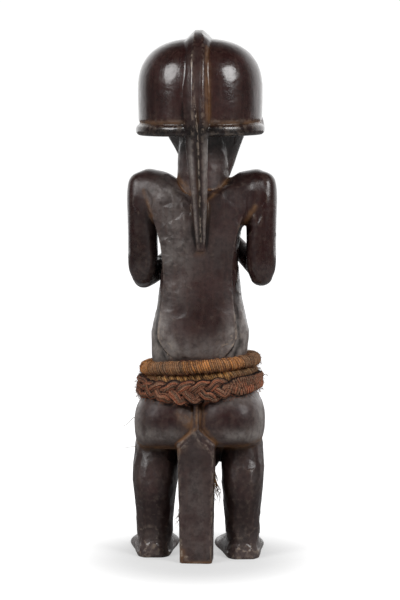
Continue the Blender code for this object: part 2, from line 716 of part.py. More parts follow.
def taut_line(points, level, depth, count):
    """The middle line of a rope drawn taut round the wood's points, and its half height and half depth.

    level gives the rope's height and half height for an x. For each direction the line keeps the greatest
    reach of the wood within the rope's height, with the rope's own half depth there added. The heights
    depend on where the line ends up, so they are worked out a few times over.
    """
    c, s = circle(count)
    x = WAIST_HALF_WIDTH * UNIT * c
    for _ in range(4):
        z, half = level(x)
        thick = half if depth is None else np.full(count, depth / 2)
        reach = np.empty(count)
        for i in range(count):
            up = (points[:, 2] - z[i]) / half[i]
            near = np.abs(up) < 1
            out = points[near, 0] * c[i] + points[near, 1] * s[i] + thick[i] * np.sqrt(1 - up[near] ** 2)
            reach[i] = out.max() / math.cos(math.pi / count) + ROPE_GAP
        turn = (np.roll(reach, -1) - np.roll(reach, 1)) * count / (4 * math.pi)
        x = reach * c - turn * s
    z, half = level(x)
    return np.stack([x, reach * s + turn * c, z], axis=1), half, thick


def rope_rings(line, half_height, half_depth, points, relief=0.0, crossings=0):
    """Rings round a rope's line, with its strands' crossings standing out by relief."""
    count = len(line)
    way = np.roll(line, -1, axis=0) - np.roll(line, 1, axis=0)
    way /= np.linalg.norm(way, axis=1)[:, None]
    up = np.array([[0, 0, 1.0]])
    out = np.cross(way, up)
    out /= np.linalg.norm(out, axis=1)[:, None]
    c, s = circle(points)
    along = np.arange(count)[:, None] * 2 * math.pi / count
    swell = relief * np.clip(np.sin(crossings * along + np.sign(s) * math.pi / 2), 0, 1) * np.clip(c, 0, 1)
    wide = half_depth[:, None] * c + swell
    tall = half_height[:, None] * s + 0 * c
    return line[:, None] + out[:, None] * wide[..., None] + up[:, None] * tall[..., None]


def upper_level(x):
    return BELT_Z * UNIT + BELT_SLOPE * x, 0 * x + UPPER_ROPE_DIAMETER / 2


def middle_level(x):
    z, half = upper_level(x)
    pinched = MIDDLE_ROPE_PINCH * np.clip(x / (WAIST_HALF_WIDTH * UNIT), 0, 1) ** 2
    own = (MIDDLE_ROPE_DIAMETER - pinched) / 2
    return z - half - ROPE_GAP - own, own


def plait_level(x):
    z, half = middle_level(x)
    own = (PLAIT_HEIGHT - PLAIT_PINCH * np.clip(np.abs(x) / (WAIST_HALF_WIDTH * UNIT), 0, 1) ** 3) / 2
    return z - half - ROPE_GAP - own, own


def make_belt(figure):
    """The three turns of the belt, each drawn taut round the finished carving."""
    points = waist_points(figure)
    turns = (
        ("belt_upper_rope", FIBRE_OCHRE, upper_level, None, 6, 0.0),
        ("belt_middle_rope", FIBRE_BROWN, middle_level, None, 6, 0.0),
        ("belt_plait", FIBRE_RUST, plait_level, PLAIT_DEPTH, 8, PLAIT_STRAND_RELIEF),
    )
    for name, colour, level, depth, sides, relief in turns:
        line, half, thick = taut_line(points, level, depth, BELT_POINTS)
        turn = closed_ring(name, rope_rings(line, half, thick, sides, relief, PLAIT_CROSSINGS))
        turn.data.materials.append(material(f"{name}_fibre", colour, 0.9))


def main():
    clear_scene()
    make_belt(carve_figure(material("carved_wood", WOOD_DARK, 0.35)))


main()
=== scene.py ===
"""The looks of the carved ancestor figure: hand-cut dark wood with an oiled patina, and its fibre belt.

The figure's forms are worked out on fine grids from the same sections as the solid, joined into one skin,
cut with shallow tool facets, and stained and worn by how far each point lies in a crease or on an edge,
with painted shade in the creases, painted shade under the brim and the belt and along grooves and gaps,
and a pale painted sheen on rims, corners and flanks. The belt's ropes and plait follow the middle lines of
their solids.
"""

import math

import bmesh
import bpy
import numpy as np
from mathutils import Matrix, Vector


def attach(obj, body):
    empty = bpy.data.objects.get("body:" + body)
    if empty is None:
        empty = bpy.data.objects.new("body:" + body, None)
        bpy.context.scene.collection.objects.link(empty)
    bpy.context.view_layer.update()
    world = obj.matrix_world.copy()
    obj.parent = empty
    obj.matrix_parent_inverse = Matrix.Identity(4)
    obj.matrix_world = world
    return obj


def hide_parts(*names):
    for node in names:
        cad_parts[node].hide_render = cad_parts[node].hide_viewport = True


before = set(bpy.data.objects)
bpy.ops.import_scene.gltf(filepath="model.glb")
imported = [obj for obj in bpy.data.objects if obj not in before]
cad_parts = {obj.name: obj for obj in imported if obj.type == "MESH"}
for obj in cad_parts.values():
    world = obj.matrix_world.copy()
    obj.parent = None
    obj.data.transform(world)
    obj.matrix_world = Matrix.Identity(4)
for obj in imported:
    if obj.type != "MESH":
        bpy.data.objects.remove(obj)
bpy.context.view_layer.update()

# Camera, from the photograph: its azimuth, height and distance, and what it aims at, in metres.
CAMERA_AZIMUTH = 185.0
CAMERA_HEIGHT = 0.320
CAMERA_DISTANCE = 1.400
CAMERA_TARGET_Z = 0.2438
CAMERA_LENS = 87.95

# The studio: how bright it is behind the figure, on the camera's side and overhead, and the floor's glow,
# which is weaker near the figure to paint a contact shadow round its feet.
BACKDROP_STRENGTH = 1.30
CAMERA_SIDE_STRENGTH = 0.085
OVERHEAD_SHARE = 0.20
# Round the figure the floor glows less: a painted contact shadow, centred on the floor middle below.
FLOOR_GLOW_IN_PAINTED_SHADOW = 0.46
FLOOR_GLOW_FAR = 1.05
FLOOR_GLOW_START = 0.055  # metres from the figure's foot where the glow begins to grow
FLOOR_GLOW_REACH = 0.18  # and where the floor is plain white
FLOOR_PAINTED_SHADOW_MIDDLE = (0, 0.020, 0)
FLOOR_HALF_SIZE = 12.0
FLOOR_GREY = (0.46, 0.46, 0.46, 1)
BACKDROP_EDGE = (-0.68, -0.14)  # from the backdrop to the camera's side, by the direction's Y
OVERHEAD_EDGE = (0.45, 0.85)  # from the sides to overhead, by the direction's Z
SEEN_WHITE = 1.05
LIGHTS_AIM_Z = 0.25
# Soft boxes: name, place, power, width and height.
SOFT_BOXES = (
    ("left_box", (0.935, 0.903, 0.98), 10.4, 0.64, 0.74),
    ("right_box", (-1.086, 0.818, 0.98), 12.4, 0.66, 0.68),
)

# The joined skin and the tool facets cut into it, in metres.
SKIN_VOXEL = 0.00105  # size of the joined skin's mesh
SKIN_SMOOTHING = 1
ROUNDING_STEPS = 40
ROUNDING_FILL = 0.0008  # how far the rounded places are filled out again
SKIN_TRIANGLES = 196000  # what the carved skin is thinned to, least where it is flat
FACET_SPACING = 0.0088  # between the middles of tool facets
FACET_DEPTH = 0.00030
FACET_TILT = 0.045
FACET_REACH = 0.0115
FACET_DEEPEST = 0.00085
SHARP_BEND = 0.00020  # where smoothing would move the skin this far, no facet is cut
BEND_FADE = 0.00009
FACET_SWATH = 2500  # points that are cut in one go
SOFT_NORMAL_STEPS = 10  # how often the normals are smoothed that the cuts follow
BEND_STEPS = 8
SOFTENING_STEPS = 4  # how often what is measured on the skin is smoothed
CREASE_STEPS = 44  # how often the skin is smoothed to find its creases, and its edges
EDGE_STEPS = 6
FLOOR_CLEAR = (0.0015, 0.003)  # where above the floor the cuts begin, and over what height they grow
CREASE_DEPTH = 0.0009  # how deep a full crease lies below its surroundings
EDGE_HEIGHT = 0.00020  # how far a full edge stands out
SEED = 7

MM = 0.001  # the sections and patches below are drawn in millimetres, for a figure 500 mm high
# Each form's grid: rings, points round each, and how far its first and last ring are domed, in millimetres.
GRIDS = {
    "torso": (110, 110, 0, 12),
    "pelvis": (60, 100, 6, 0),
    "buttock": (40, 90, 2.5, 6),
    "leg": (60, 72, 0, 8),
    "foot": (60, 61, 3, 4),
    "back_plate": (130, 61, 0, 0),
    "shoulders": (90, 72, 7, 7),
    "upper_arm": (50, 60, 8.5, 12),
    "forearm": (40, 48, 5, 4),
    "hand": (30, 48, 4, 6),
    "neck": (60, 80, 0, 0),
    "skull": (140, 160, 4, 5),
}
DOME_GRID = (150, 180)
BRIM_GRID = (220, 40)
CREST_RINGS = 260
POST_RINGS = 120
NAVEL_GRID = (16, 40)

# Level sections, bottom to top: z, middle x, half width, front y, widest y, back y, fullness.
TORSO = (
    (150, 0, 42.0, -36, -2, 22, 2.2),
    (166, 0, 44.5, -38, -2, 27, 2.2),
    (184, 0.6, 45.4, -41, -2, 31, 2.2),
    (202, 0.4, 46.5, -43, -2, 32, 2.2),
    (214, 0, 46.8, -43, -2, 32, 2.2),
    (228, 0, 44.0, -41, -2, 31, 2.2),
    (244, 0, 40.6, -37, -1, 29, 2.2),
    (262, 0, 38.2, -33, 0, 28, 2.3),
    (284, 0, 36.8, -31, 0, 28, 2.4),
    (306, -1, 38.0, -33, 0, 28, 2.5),
    (326, -2, 40.0, -34, 0, 27, 2.5),
    (342, -2, 36.0, -29, 0, 24, 2.4),
)
PELVIS = (
    (86, 0, 17.0, -26, 0, 16, 2.2),
    (98, 0, 25.0, -30, 0, 20, 2.2),
    (112, -1, 34.0, -34, 0, 24, 2.3),
    (126, -1, 43.0, -38, 0, 28, 2.3),
    (140, -1, 48.0, -40, 0, 32, 2.3),
    (156, -0.2, 46.4, -40, 0, 32, 2.3),
    (172, 0.5, 44.0, -39, 0, 30, 2.3),
)
BUTTOCK = (
    (107, 0, 28.0, -22, 8, 36, 2.5),
    (111, 0, 31.5, -28, 8, 43, 2.6),
    (118, 0, 33.2, -32, 8, 48, 2.6),
    (128, 0, 34.0, -34, 8, 51, 2.6),
    (138, 0, 33.4, -34, 8, 51, 2.5),
    (147, 0, 31.0, -34, 8, 48, 2.4),
    (156, 0, 26.0, -33, 8, 42, 2.3),
    (166, 0, 20.0, -30, 8, 34, 2.2),
)
BUTTOCK_MIDDLE = {"left": 27.4, "right": -28.8}
BUTTOCK_LIFT = {"left": -1.0, "right": 1.5}
LEG = (
    (9, 0.6, 16.0, -12, 6, 24, 2.3),
    (20, 0.4, 17.4, -14, 8, 26, 2.3),
    (31, 0.2, 17.8, -13, 10, 27, 2.2),
    (44, 0.0, 18.6, -17, 10, 29, 2.2),
    (58, 0.0, 20.0, -25, 9, 32.5, 2.4),
    (72, 0.0, 21.4, -35, 8, 32, 2.5),
    (85, 0.0, 21.8, -43, 4, 28.5, 2.5),
    (97, -0.4, 21.4, -46, 0, 24.5, 2.4),
    (110, -1.0, 20.8, -45, -4, 22, 2.3),
    (122, -3.0, 19.6, -40, -6, 20, 2.2),
)
LEG_MIDDLE = {"left": 42.4, "right": -41.4}
LEG_GIRTH = {"left": 1.0, "right": 0.945}
# Sections across one foot, heel to toes: y, half width, height, how far the section leans inward.
FOOT = (
    (26, 10.8, 16, 0.0),
    (21, 15.2, 24, 0.0),
    (9, 17.4, 28, 0.0),
    (-6, 19.4, 27, 0.2),
    (-20, 22.2, 20, 0.8),
    (-33, 24.2, 15, 1.2),
    (-45, 23.4, 11, 1.4),
    (-53, 20.0, 9, 1.6),
)
FOOT_MIDDLE = {"left": 44.4, "right": -40.4}
FOOT_TURN = {"left": 5.5, "right": 7.5}
TOE_GROOVE_DEPTH = 2.4
TOE_GROOVES_FROM_Y = -38
TOE_GROOVES_GROW = 12  # over how many millimetres the grooves reach their depth
TOES = 5
SOLE_THICKNESS = 2.0
SOLE_SHARE = 0.95  # the sole's width, as a share of the foot's
INSTEP_TAPER = 0.14
INSTEP_FULLNESS = 2.5
# The back plate, bottom to top: z, half width, y at its edges, y at its middle.
BACK_PLATE = (
    (185, 17.0, 28.0, 32.5),
    (192, 25.4, 29.5, 34.8),
    (201, 33.2, 30.5, 36.5),
    (211, 37.6, 31.0, 37.5),
    (222, 37.2, 30.4, 37.0),
    (238, 34.8, 28.6, 35.6),
    (254, 33.2, 27.6, 34.6),
    (270, 32.8, 27.4, 34.6),
    (286, 34.0, 28.0, 35.4),
    (300, 36.0, 28.8, 36.6),
    (312, 39.2, 29.6, 37.4),
    (324, 43.4, 29.0, 38.0),
    (336, 48.0, 27.4, 37.6),
    (346, 51.4, 24.6, 35.6),
    (354, 50.0, 20.0, 31.0),
)
PLATE_ROOT = 4.0
PLATE_ROOT_SHARE = 0.9
PLATE_NOTCH_DEPTH = 15.0
PLATE_NOTCH_HALF_WIDTH = 25.0
PLATE_NOTCH_FOOT_Z = 316.0
# Sections across the shoulders, left to right: x, front y, back y, bottom z, top z.
SHOULDERS = (
    (61.6, -3, 18, 327, 361),
    (52, -12, 24, 320, 368),
    (40, -21, 29, 314, 367),
    (28, -26, 32, 306, 363),
    (14, -28, 33, 300, 352),
    (-3, -28, 33, 300, 344),
    (-19, -28, 33, 300, 352),
    (-33, -26, 32, 306, 363),
    (-45, -21, 29, 317, 366.5),
    (-57, -12, 24, 323, 367.5),
    (-66.4, -3, 18, 330, 360),
)
SHOULDER_FULLNESS = 2.7
SHOULDER_FALL = 5.0  # how far the tops fall away to the back
# One upper arm: z, half width, front y, widest y, back y.
UPPER_ARM = (
    (266.5, 10.2, -6, 7, 19),
    (272.5, 12.8, -8, 8, 22),
    (284, 14.0, -9, 8, 23.5),
    (302, 14.0, -9, 8, 24),
    (322, 14.2, -9, 8, 24.5),
    (340, 14.6, -9, 8, 24.5),
    (354, 13.6, -7, 8, 22),
)
ARM_MIDDLE = {"left": 53.8, "right": -58.8}
ARM_FULLNESS = 2.3
# Forearms, elbow to wrist: x, y, z, half width, half height.
FOREARM = {
    "left": (
        (55, 5, 266, 10.5, 11.0),
        (46, -12, 271, 9.6, 10.6),
        (34, -29, 282, 8.6, 9.2),
        (22, -39, 298, 7.4, 7.6),
    ),
    "right": (
        (-60, 5, 270, 10.4, 11.0),
        (-49.5, -12, 280, 9.0, 10.2),
        (-36, -29, 292, 8.4, 9.0),
        (-23, -39, 306, 7.4, 7.6),
    ),
}
# Hands laid together on the breast: wrist, palm and fingertips as x, y, z, half width, half thickness.
HAND = {
    "left": ((22, -38, 297, 8.0, 6.0), (13, -41, 307, 10.5, 7.0), (3.5, -42, 319, 8.8, 5.8)),
    "right": ((-23, -38, 305, 8.0, 6.0), (-13, -42, 315, 10.5, 7.0), (-3.5, -44, 327, 8.8, 5.8)),
}
HAND_FULLNESS = 2.6
NECK = (
    (322, -2.6, 24.6, -18, 3, 27, 2.1),
    (345, -2.8, 24.2, -18, 3, 26, 2.1),
    (366, -2.9, 23.9, -20, 2, 25, 2.1),
    (382, -2.9, 23.9, -24, 1, 26, 2.1),
    (393, -3.6, 24.4, -28, 0, 29, 2.1),
    (403, -4.2, 27.2, -30, 0, 34, 2.1),
    (414, -2.9, 33.0, -30, 0, 36, 2.1),
)
# The face and skull, chin to forehead: z, half width, front y, widest y, back y, fullness.
SKULL = (
    (356, 13.0, -47, -30, -14, 2.2),
    (361, 18.0, -53, -30, -8, 2.2),
    (368, 21.5, -56, -28, 0, 2.2),
    (377, 25.6, -57, -24, 6, 2.2),
    (388, 30.4, -55, -18, 12, 2.2),
    (400, 36.0, -53, -12, 20, 2.2),
    (414, 41.0, -53, -8, 28, 2.2),
    (428, 43.5, -55, -6, 32, 2.3),
    (442, 44.0, -56.5, -6, 34, 2.3),
    (456, 42.0, -55.5, -6, 34, 2.3),
    (468, 36.0, -50, -6, 30, 2.2),
    (476, 27.0, -41, -6, 24, 2.1),
)
# The face's carved bumps, on both sides and in its middle: height, x, z, half width and half height.
EYE_Z = 415.0
MOUTH_Z = 381.0
FACE_PAIRS = (
    (-7.5, 15.5, 408, 11.5, 19),
    (2.6, 9, 430, 9, 4.2),
    (2.6, 20, 428, 8, 4.2),
    (4.6, 14.5, EYE_Z, 7.5, 4.2),
    (-1.5, 14.5, EYE_Z - 0.6, 6.4, 0.8),
)
FACE_MIDDLES = (
    (4.4, 0, MOUTH_Z + 3.2, 13.5, 2.7),
    (4.4, 0, MOUTH_Z - 3.4, 12.0, 2.9),
    (2.0, 0, 364, 13, 5),
)
NOSE_LENGTH = 10.5
NOSE_TIP_Z = 398.0
NOSE_ROOT_Z = 432.0
NOSE_BRIDGE = 2.8  # its half width at the root
NOSE_FLARE = 3.6  # how much wider it is at the tip
FACE_TURN = 6.0
FACE_SHIFT = -3.0
# The coiffure: a helmet-shaped dome over a rolled brim that rises from the nape to the forehead.
HEAD_MIDDLE_X = -0.7
HEAD_MIDDLE_Y = 4.5
DOME_HALF_WIDTH = 59.0
DOME_HALF_DEPTH = 55.0
DOME_WIDEST_Z = 440.0
DOME_TOP_Z = 490.5
DOME_FULLNESS = 2.6
HEAD_ROUNDNESS = 2.15
DOME_TAPER = 1.6
BRIM_BACK_Z = 402.5
BRIM_SIDE_Z = 407.5
BRIM_FRONT_Z = 463.0
BRIM_HALF_HEIGHT = 4.9
BRIM_SIDE_SWELLING = 0.4  # how much higher its half height is at the sides
BRIM_DROP = 1.4  # how far its middle lies below the dome's edge
BRIM_HALF_DEPTH = 5.2
BRIM_INSET = 3.4
BRIM_FULLNESS = 3.4
BRIM_SIDE_ROUNDING = 1.3  # how much less full its section is at the sides
BRIM_SIDE_REACH = 1.6  # how much farther it stands out at the sides
BRIM_GROOVE_DEPTH = 1.0  # the line cut into the dome above the brim
BRIM_GROOVE_RISE = 4.6  # its height above the dome's edge
BRIM_GROOVE_WIDTH = 2.0
BRIM_RISE_START = 0.05  # how far in front of the head's middle it begins to rise, as a share
BRIM_RISE_BEND = 1.5
HELMET_HOLLOW_Z = 433.0
HELMET_HOLLOW_SHARE = 0.76  # the hollow's width at the brim, as a share of the dome's
DOME_RING_SPREAD = 0.72
# The crest, forehead to tail: y and z of its outer edge, x, half widths of its root and edge, depth.
CREST = (
    (-50, 458, 0.0, 5.0, 2.6, 9),
    (-51.5, 472, 0.0, 8.4, 3.6, 12),
    (-45, 486, 0.2, 10.2, 3.4, 14),
    (-31, 494.4, 0.2, 11.8, 3.9, 15),
    (-13, 498.6, 0.0, 12.6, 4.2, 15),
    (5, 499.2, -0.2, 13.0, 4.2, 15),
    (25, 496.0, -0.6, 12.4, 4.0, 15),
    (44, 487, -1.0, 10.8, 3.9, 15),
    (57.6, 470, -1.2, 10.0, 4.4, 14),
    (63.6, 448, -1.3, 9.8, 4.4, 13),
    (65.0, 425, -1.4, 9.7, 4.5, 13),
    (64.2, 405, -1.5, 9.6, 4.5, 13),
    (61.4, 388, -1.6, 9.2, 4.4, 11),
    (56.8, 368, -2.1, 8.8, 4.4, 10),
    (51.0, 348, -2.6, 8.0, 4.2, 10),
    (45.4, 328, -3.1, 7.0, 3.9, 10),
    (41.6, 308, -3.6, 5.8, 3.5, 9),
    (38.6, 291, -4.0, 4.4, 2.7, 7),
)
CREST_GROOVE = 2.3  # depth of the channel cut along the crest
CREST_FACE_WIDENING = 0.32
CREST_ROOT_WIDENING = 0.16
CREST_FACE_SHIFT = -1.7  # its outer face lies this much nearer the right side, on the back of the dome
CREST_FLARE_TOP = 9.0  # how deep its flanks slope before they run straight into the wood
CREST_FLARE_BACK = 5.2
# The crest and the brim's roll, which the tool's flat cuts leave alone.
SPARED_CREST_X = (-16.5, 12.5)
SPARED_TAIL_Y = 35
SPARED_TAIL_Z = 284
SPARED_CROWN_Z = 482
SPARED_BRIM = 9
NAVEL = (0.0, -41.0, 214.0)
NAVEL_RADIUS = 6.0
NAVEL_LENGTH = 7.0
# The rear post and the spine that runs up from it into the cleft.
POST_FOOT_WIDTH = 30.2
POST_TOP_WIDTH = 35.0
POST_DEPTH = 25.0
POST_EDGE = 2.2
POST_BACK_Y = 48.5
POST_TOP_Z = 116.0
SPINE_TOP_Z = 160.0
SPINE_HALF_WIDTH = 3.0

# How strongly the tool's cuts show, by height in millimetres: least on the dome and above the shoulders.
TOOL_STRENGTH = (
    (0, 1.1), (95, 1.1), (105, 0.5), (170, 0.5), (200, 0.7), (315, 0.7), (340, 0.1), (390, 0.6), (400, 0.22),
)
TOOL_PATCH = (24, 36, 290, 18, 12, 52)  # the left of the back, where they show most
TOOL_LEAST = 0.04


def both(strength, left_x, right_x, *rest):
    """Two patches alike, one on each side."""
    return (strength, left_x, *rest), (strength, right_x, *rest)


# Soft patches, in millimetres: strength, middle x, y, z, and how wide, deep and high.
# Where the joined skin is rounded off most.
ROUNDED_PATCHES = (
    *both(1.0, 57, -62, 8, 350, 20, 40, 22),
    *both(1.0, 55, -59, 6, 268, 18, 34, 16),
    *both(0.6, 55, -60, 8, 318, 14, 34, 18),
    (0.8, 0, 10, 360, 40, 40, 12),
)
# Where the arms are reddish, and the tool's cuts are softer.
ARM_PATCHES = (
    (1.0, 57, 10, 300, 13, 40, 52),
    (1.0, -62, 10, 305, 13, 40, 54),
)
# Where else the wood is reddish.
RED_PATCHES = (
    (1.0, 30, 50, 137, 16, 30, 10),
    (1.0, -33, 50, 137, 18, 30, 11),
    (0.6, -4, 36, 250, 24, 20, 40),
    (0.7, -38, 30, 326, 20, 24, 18),
    (0.5, 0, 60, 455, 60, 30, 30),
    (0.8, 0, 50, 60, 16, 20, 44),
    (1.0, 28, 44, 138, 10, 30, 6),
    (1.0, -44, 40, 139, 8, 30, 7),
)
# Where a pale grey painted sheen lies on the wood, for reflections: on the back and the plate's corners, the
# torso's sides, the seat, the post, the legs and feet, the neck and the crest's flanks.
PAINTED_SHEEN_PATCHES = (
    (0.5, 24, 36, 296, 22, 20, 56),
    (0.35, 34, 30, 348, 16, 26, 12),
    (0.9, 36, 30, 213, 9, 24, 28),
    (0.9, -37, 30, 209, 9, 24, 22),
    (0.8, 29, 33, 199, 13, 22, 14),
    (0.8, -30, 33, 198, 13, 22, 14),
    (0.5, 0, 36, 194, 44, 20, 14),
    *both(0.8, 42, -42, 4, 215, 7, 26, 40),
    (0.28, 0, 48, 55, 18, 24, 56),
    *both(0.3, 42, -42, 10, 8, 34, 70, 18),
    *both(0.75, 30, -36, 48, 154, 24, 30, 5),
    *both(0.75, 38, -42, 48, 120, 24, 30, 6),
    *both(0.9, 63, -66, 20, 134, 14, 40, 24),
    *both(0.12, 50, -50, 30, 84, 24, 30, 16),
    (0.15, -3, 20, 380, 26, 24, 22),
    (0.16, -1, 66, 440, 7, 22, 44),
    (0.10, -22, 34, 290, 20, 20, 60),
)
# Painted sheen along lines seen from behind: the two lit faces of the crest's tail, beside its channel.
PAINTED_SHEEN_LINES = (
    (1.0, 2.2, 4.4, 398, 1.8, 345),
    (1.0, 2.2, -10.4, 398, -9.2, 345),
    (0.6, 1.5, 1.8, 345, -0.8, 300),
    (0.6, 1.7, -9.2, 345, -7.4, 300),
)
# Where the tool has left small hammered facets.
HAMMERED_PATCHES = (
    (0.9, 22, 36, 305, 20, 14, 36),
    (0.3, 20, 36, 340, 22, 20, 14),
    (0.15, 6, 36, 235, 40, 20, 34),
    (0.3, 0, 48, 60, 60, 40, 50),
)
# Where the surface is dull: the seat, the neck and the belt's surroundings.
DULL_PATCHES = (
    (1.3, 0, 45, 134, 90, 60, 24),
    (0.9, 24, 36, 290, 28, 20, 74),
    (0.9, 42, 25, 352, 26, 30, 18),
    (0.5, -40, 25, 350, 16, 30, 18),
    (0.4, -66, 12, 347, 10, 30, 14),
    (0.8, 40, 26, 225, 20, 30, 30),
    (0.8, -36, 30, 226, 14, 24, 26),
    (0.6, 50, 12, 314, 14, 30, 16),
    (0.6, -54, 12, 316, 16, 30, 18),
    (1.2, -3, 12, 370, 34, 50, 34),
    (0.7, 0, 30, 200, 60, 60, 20),
    (1.0, 0, 30, 60, 90, 70, 58),
    (0.7, -30, 30, 300, 26, 30, 60),
)
# Where painted shade darkens the wood: the brim's roll, under it, under the belt, under the buttocks, on the
# arms and on the right leg.
PAINTED_SHADE_PATCHES = (
    (1.3, 0, 60, 400, 90, 60, 6.5),
    (0.7, 0, 20, 389, 60, 60, 8),
    (0.8, 0, 40, 165, 80, 60, 5),
    (0.5, 0, 40, 186, 80, 60, 6),
    (0.5, 0, 20, 98, 44, 60, 7),
    (0.70, 54, 10, 295, 14, 40, 50),
    (0.30, -60, 10, 295, 14, 40, 50),
    (0.20, -44, 20, 60, 20, 50, 44),
)
# Where the creases hold ochre residue, and not the dark painted shade.
OCHRE_PATCHES = (
    (1.0, 0, 30, 352, 34, 26, 22),
    (1.0, 46, 20, 330, 8, 24, 18),
    (1.0, -48, 20, 334, 8, 24, 18),
    (1.0, -12, 62, 440, 8, 26, 40),
    (1.0, 0, 30, 112, 80, 60, 9),
    (1.0, 0, 50, 140, 12, 20, 26),
    (0.9, 0, 30, 6, 90, 70, 10),
)
# Where edges are worn down to light wood.
WEAR_PATCHES = (
    (1.0, 33, 32, 202, 14, 20, 14),
    (1.0, -36, 32, 203, 14, 20, 14),
    (0.8, 16, 48, 6, 12, 12, 14),
    (0.25, 0, 48, 112, 24, 20, 8),
    *both(0.6, 42, -42, 24, 10, 24, 20, 14),
    (0.3, 0, 60, 408, 70, 30, 8),
)
# Ochre stains along lines on the back: strength, width, then x and z of both ends, in millimetres.
STAIN_LINES = (
    (0.9, 1.8, 21, 361.5, 5, 345),
    (0.9, 1.8, -30, 360.5, -10.5, 338),
    (0.7, 1.6, 51, 348, 42.5, 324),
    (0.9, 2.0, -54, 333, -41.5, 313),
    (0.75, 1.4, -10.8, 478, -11.8, 404),
    (0.35, 3.2, -12.2, 462, -12.6, 408),
    (0.8, 1.2, -1.2, 152, -0.5, 127),
    (0.8, 1.2, -7.0, 152, -7.6, 127),
    (0.9, 1.5, -0.5, 127, 15, 114),
    (0.9, 1.5, -7.6, 127, -21, 112),
    (0.7, 2.6, 63, 111, 50, 107),
    (0.8, 3.4, 50, 107, 17, 106),
    (0.8, 3.4, -24, 106.5, -46, 109),
    (0.7, 2.6, -46, 109, -62, 114),
    (0.7, 5.0, 13, 140, 6, 130),
    (0.4, 2.6, -1, 288.5, -6, 289.5),
    (1.0, 4.2, 15, 11, 13, 1),
    (0.9, 1.3, 15, 1, -16, 1),
)
# The line of residue right above the brim: its height above the dome's edge, its width and strength.
RESIDUE_RISE = 5.6
RESIDUE_WIDTH = 2.0
RESIDUE_STRENGTH = 0.75
# Worn light lines seen from behind: strength, width, then x and z of both ends.
WORN_LINES = (
    (0.5, 0.9, 35.3, 234, 36.4, 217),
    (0.8, 0.9, 36.4, 217, 36.5, 207),
    (1.0, 0.9, 36.5, 207, 32.4, 198),
    (1.0, 0.9, 32.4, 198, 24.9, 190.5),
    (0.5, 0.9, -35.3, 234, -36.6, 217),
    (0.8, 0.9, -36.6, 217, -38.3, 207),
    (1.0, 0.9, -38.3, 207, -35.4, 198.7),
    (1.0, 0.9, -35.4, 198.7, -29.7, 192),
    (0.45, 0.7, 16.5, 106, 14.1, 6),
    (0.40, 0.7, -16.5, 106, -14.1, 6),
)
# Painted shade along lines seen from behind: in the channel down the crest's tail, and in the gaps along both
# sides of the back plate.
PAINTED_SHADE_LINES = (
    (1.0, 2.4, -3.2, 398, -3.7, 345),
    (1.0, 1.9, -3.7, 345, -4.1, 300),
    (1.0, 1.5, 38.6, 250, 39.6, 212),
    (1.0, 2.0, 39.6, 208, 29, 187),
    (1.0, 1.5, -35.6, 262, -37.8, 217),
    (1.0, 1.5, -37.8, 217, -39.8, 207),
    (1.0, 2.0, -39.8, 207, -32.5, 188),
    (0.5, 0.8, 17.6, 343, 17.2, 328),
)
# The worn, broken light line down the crest and its tail, as x and z.
CREST_WEAR_WIDTH = 0.62
CREST_WEAR = ((2.6, 470), (2.2, 455), (0.3, 433), (-2.0, 410), (-3.5, 383.5), (-3.9, 347.6), (-4.1, 300))
# Lines seen from behind lie only on what is farther back than these, in metres.
CREST_BEHIND_Y = 0.038
PLATE_BEHIND_Y = 0.026
PAINTED_SHADE_BEHIND_Y = 0.004
# Loose fibres, as places in millimetres.
LOOSE_FIBRES = (
    ((57.5, 2, 128.5), (63.3, 4, 130.6), (69.5, 5, 124.5), (75.4, 5, 121.7)),
    ((56, 6, 103), (62, 6, 102.6), (69, 6, 102.0), (74.5, 6, 100.7)),
    ((-60, 4, 171), (-63, 6, 174), (-65, 8, 172.5), (-66, 9, 176)),
)
# Tufts of curled fibres: how many, where they start, how far they go and how wide they curl.
TUFTS = (
    (22, (-17.0, 32, 80), (-3.5, -4, -26), 3.6),
    (7, (16.2, 32, 46), (5.5, -4, -15), 2.2),
)

# The belt, in metres.
UPPER_ROPE_DIAMETER = 0.0122
MIDDLE_ROPE_DIAMETER = 0.0088
MIDDLE_ROPE_PINCH = 0.0048
PLAIT_HEIGHT = 0.0190
PLAIT_PINCH = 0.0050
PLAIT_DEPTH = 0.0094
PLAIT_CROSSINGS = 24
WAIST_HALF_WIDTH = 0.055
ROPE_SWELLING = 1.08  # the ropes' loose outer fibres, over the solids' own size
PLAIT_SWELLING = 1.12
PLAIT_LIFT = 0.0032  # the loose plait rides up against the ropes above it
PLAIT_LEAN = 0.0056  # how far in its upper edge leans behind
PLAIT_GRID = (1280, 64)  # steps round the waist, and points round one strand
HANK_REACH = math.radians(40)  # how far round the left hip the strands lie side by side
GATHERED_MIDDLE = math.radians(168)  # where on the right hip they gather in two ropes
GATHERED_REACH = math.radians(46)
TWIST_LENGTH = 0.030
BINDING_WIDTH = 0.0024
GATHERED_RISE = (1.0, -1.0, 0.1)  # where each strand lies there, as a share up and out
GATHERED_DEPTH = (0.3, 0.3, -1.5)
BINDING_TONE = (0.45, 1.3, 0.6)
# How bright and orange the ropes' windings are, by x in metres, from the right hip to the left one.
UPPER_TONES = (
    (-0.060, 0.20), (-0.042, 0.30), (-0.036, 0.80), (-0.022, 0.85), (-0.018, 0.40), (-0.014, 0.95),
    (0.010, 1.00), (0.014, 0.35), (0.040, 0.25), (0.044, 0.90), (0.056, 0.95),
)
MIDDLE_TONES = ((-0.055, 0.15), (-0.034, 0.35), (-0.020, 0.90), (0.020, 0.95), (0.034, 0.60), (0.050, 0.40))
WINDING_WIDTH = 0.0019
STEPS_PER_WINDING = 7
PHASES = 4096  # random values, one for each turn of a binding
ROPE_SIDES = 32
LAY_LENGTH = 0.0062  # the slow swell along a rope

UPPER_SWOLLEN = ROPE_SWELLING * UPPER_ROPE_DIAMETER
MIDDLE_SWOLLEN = ROPE_SWELLING * MIDDLE_ROPE_DIAMETER
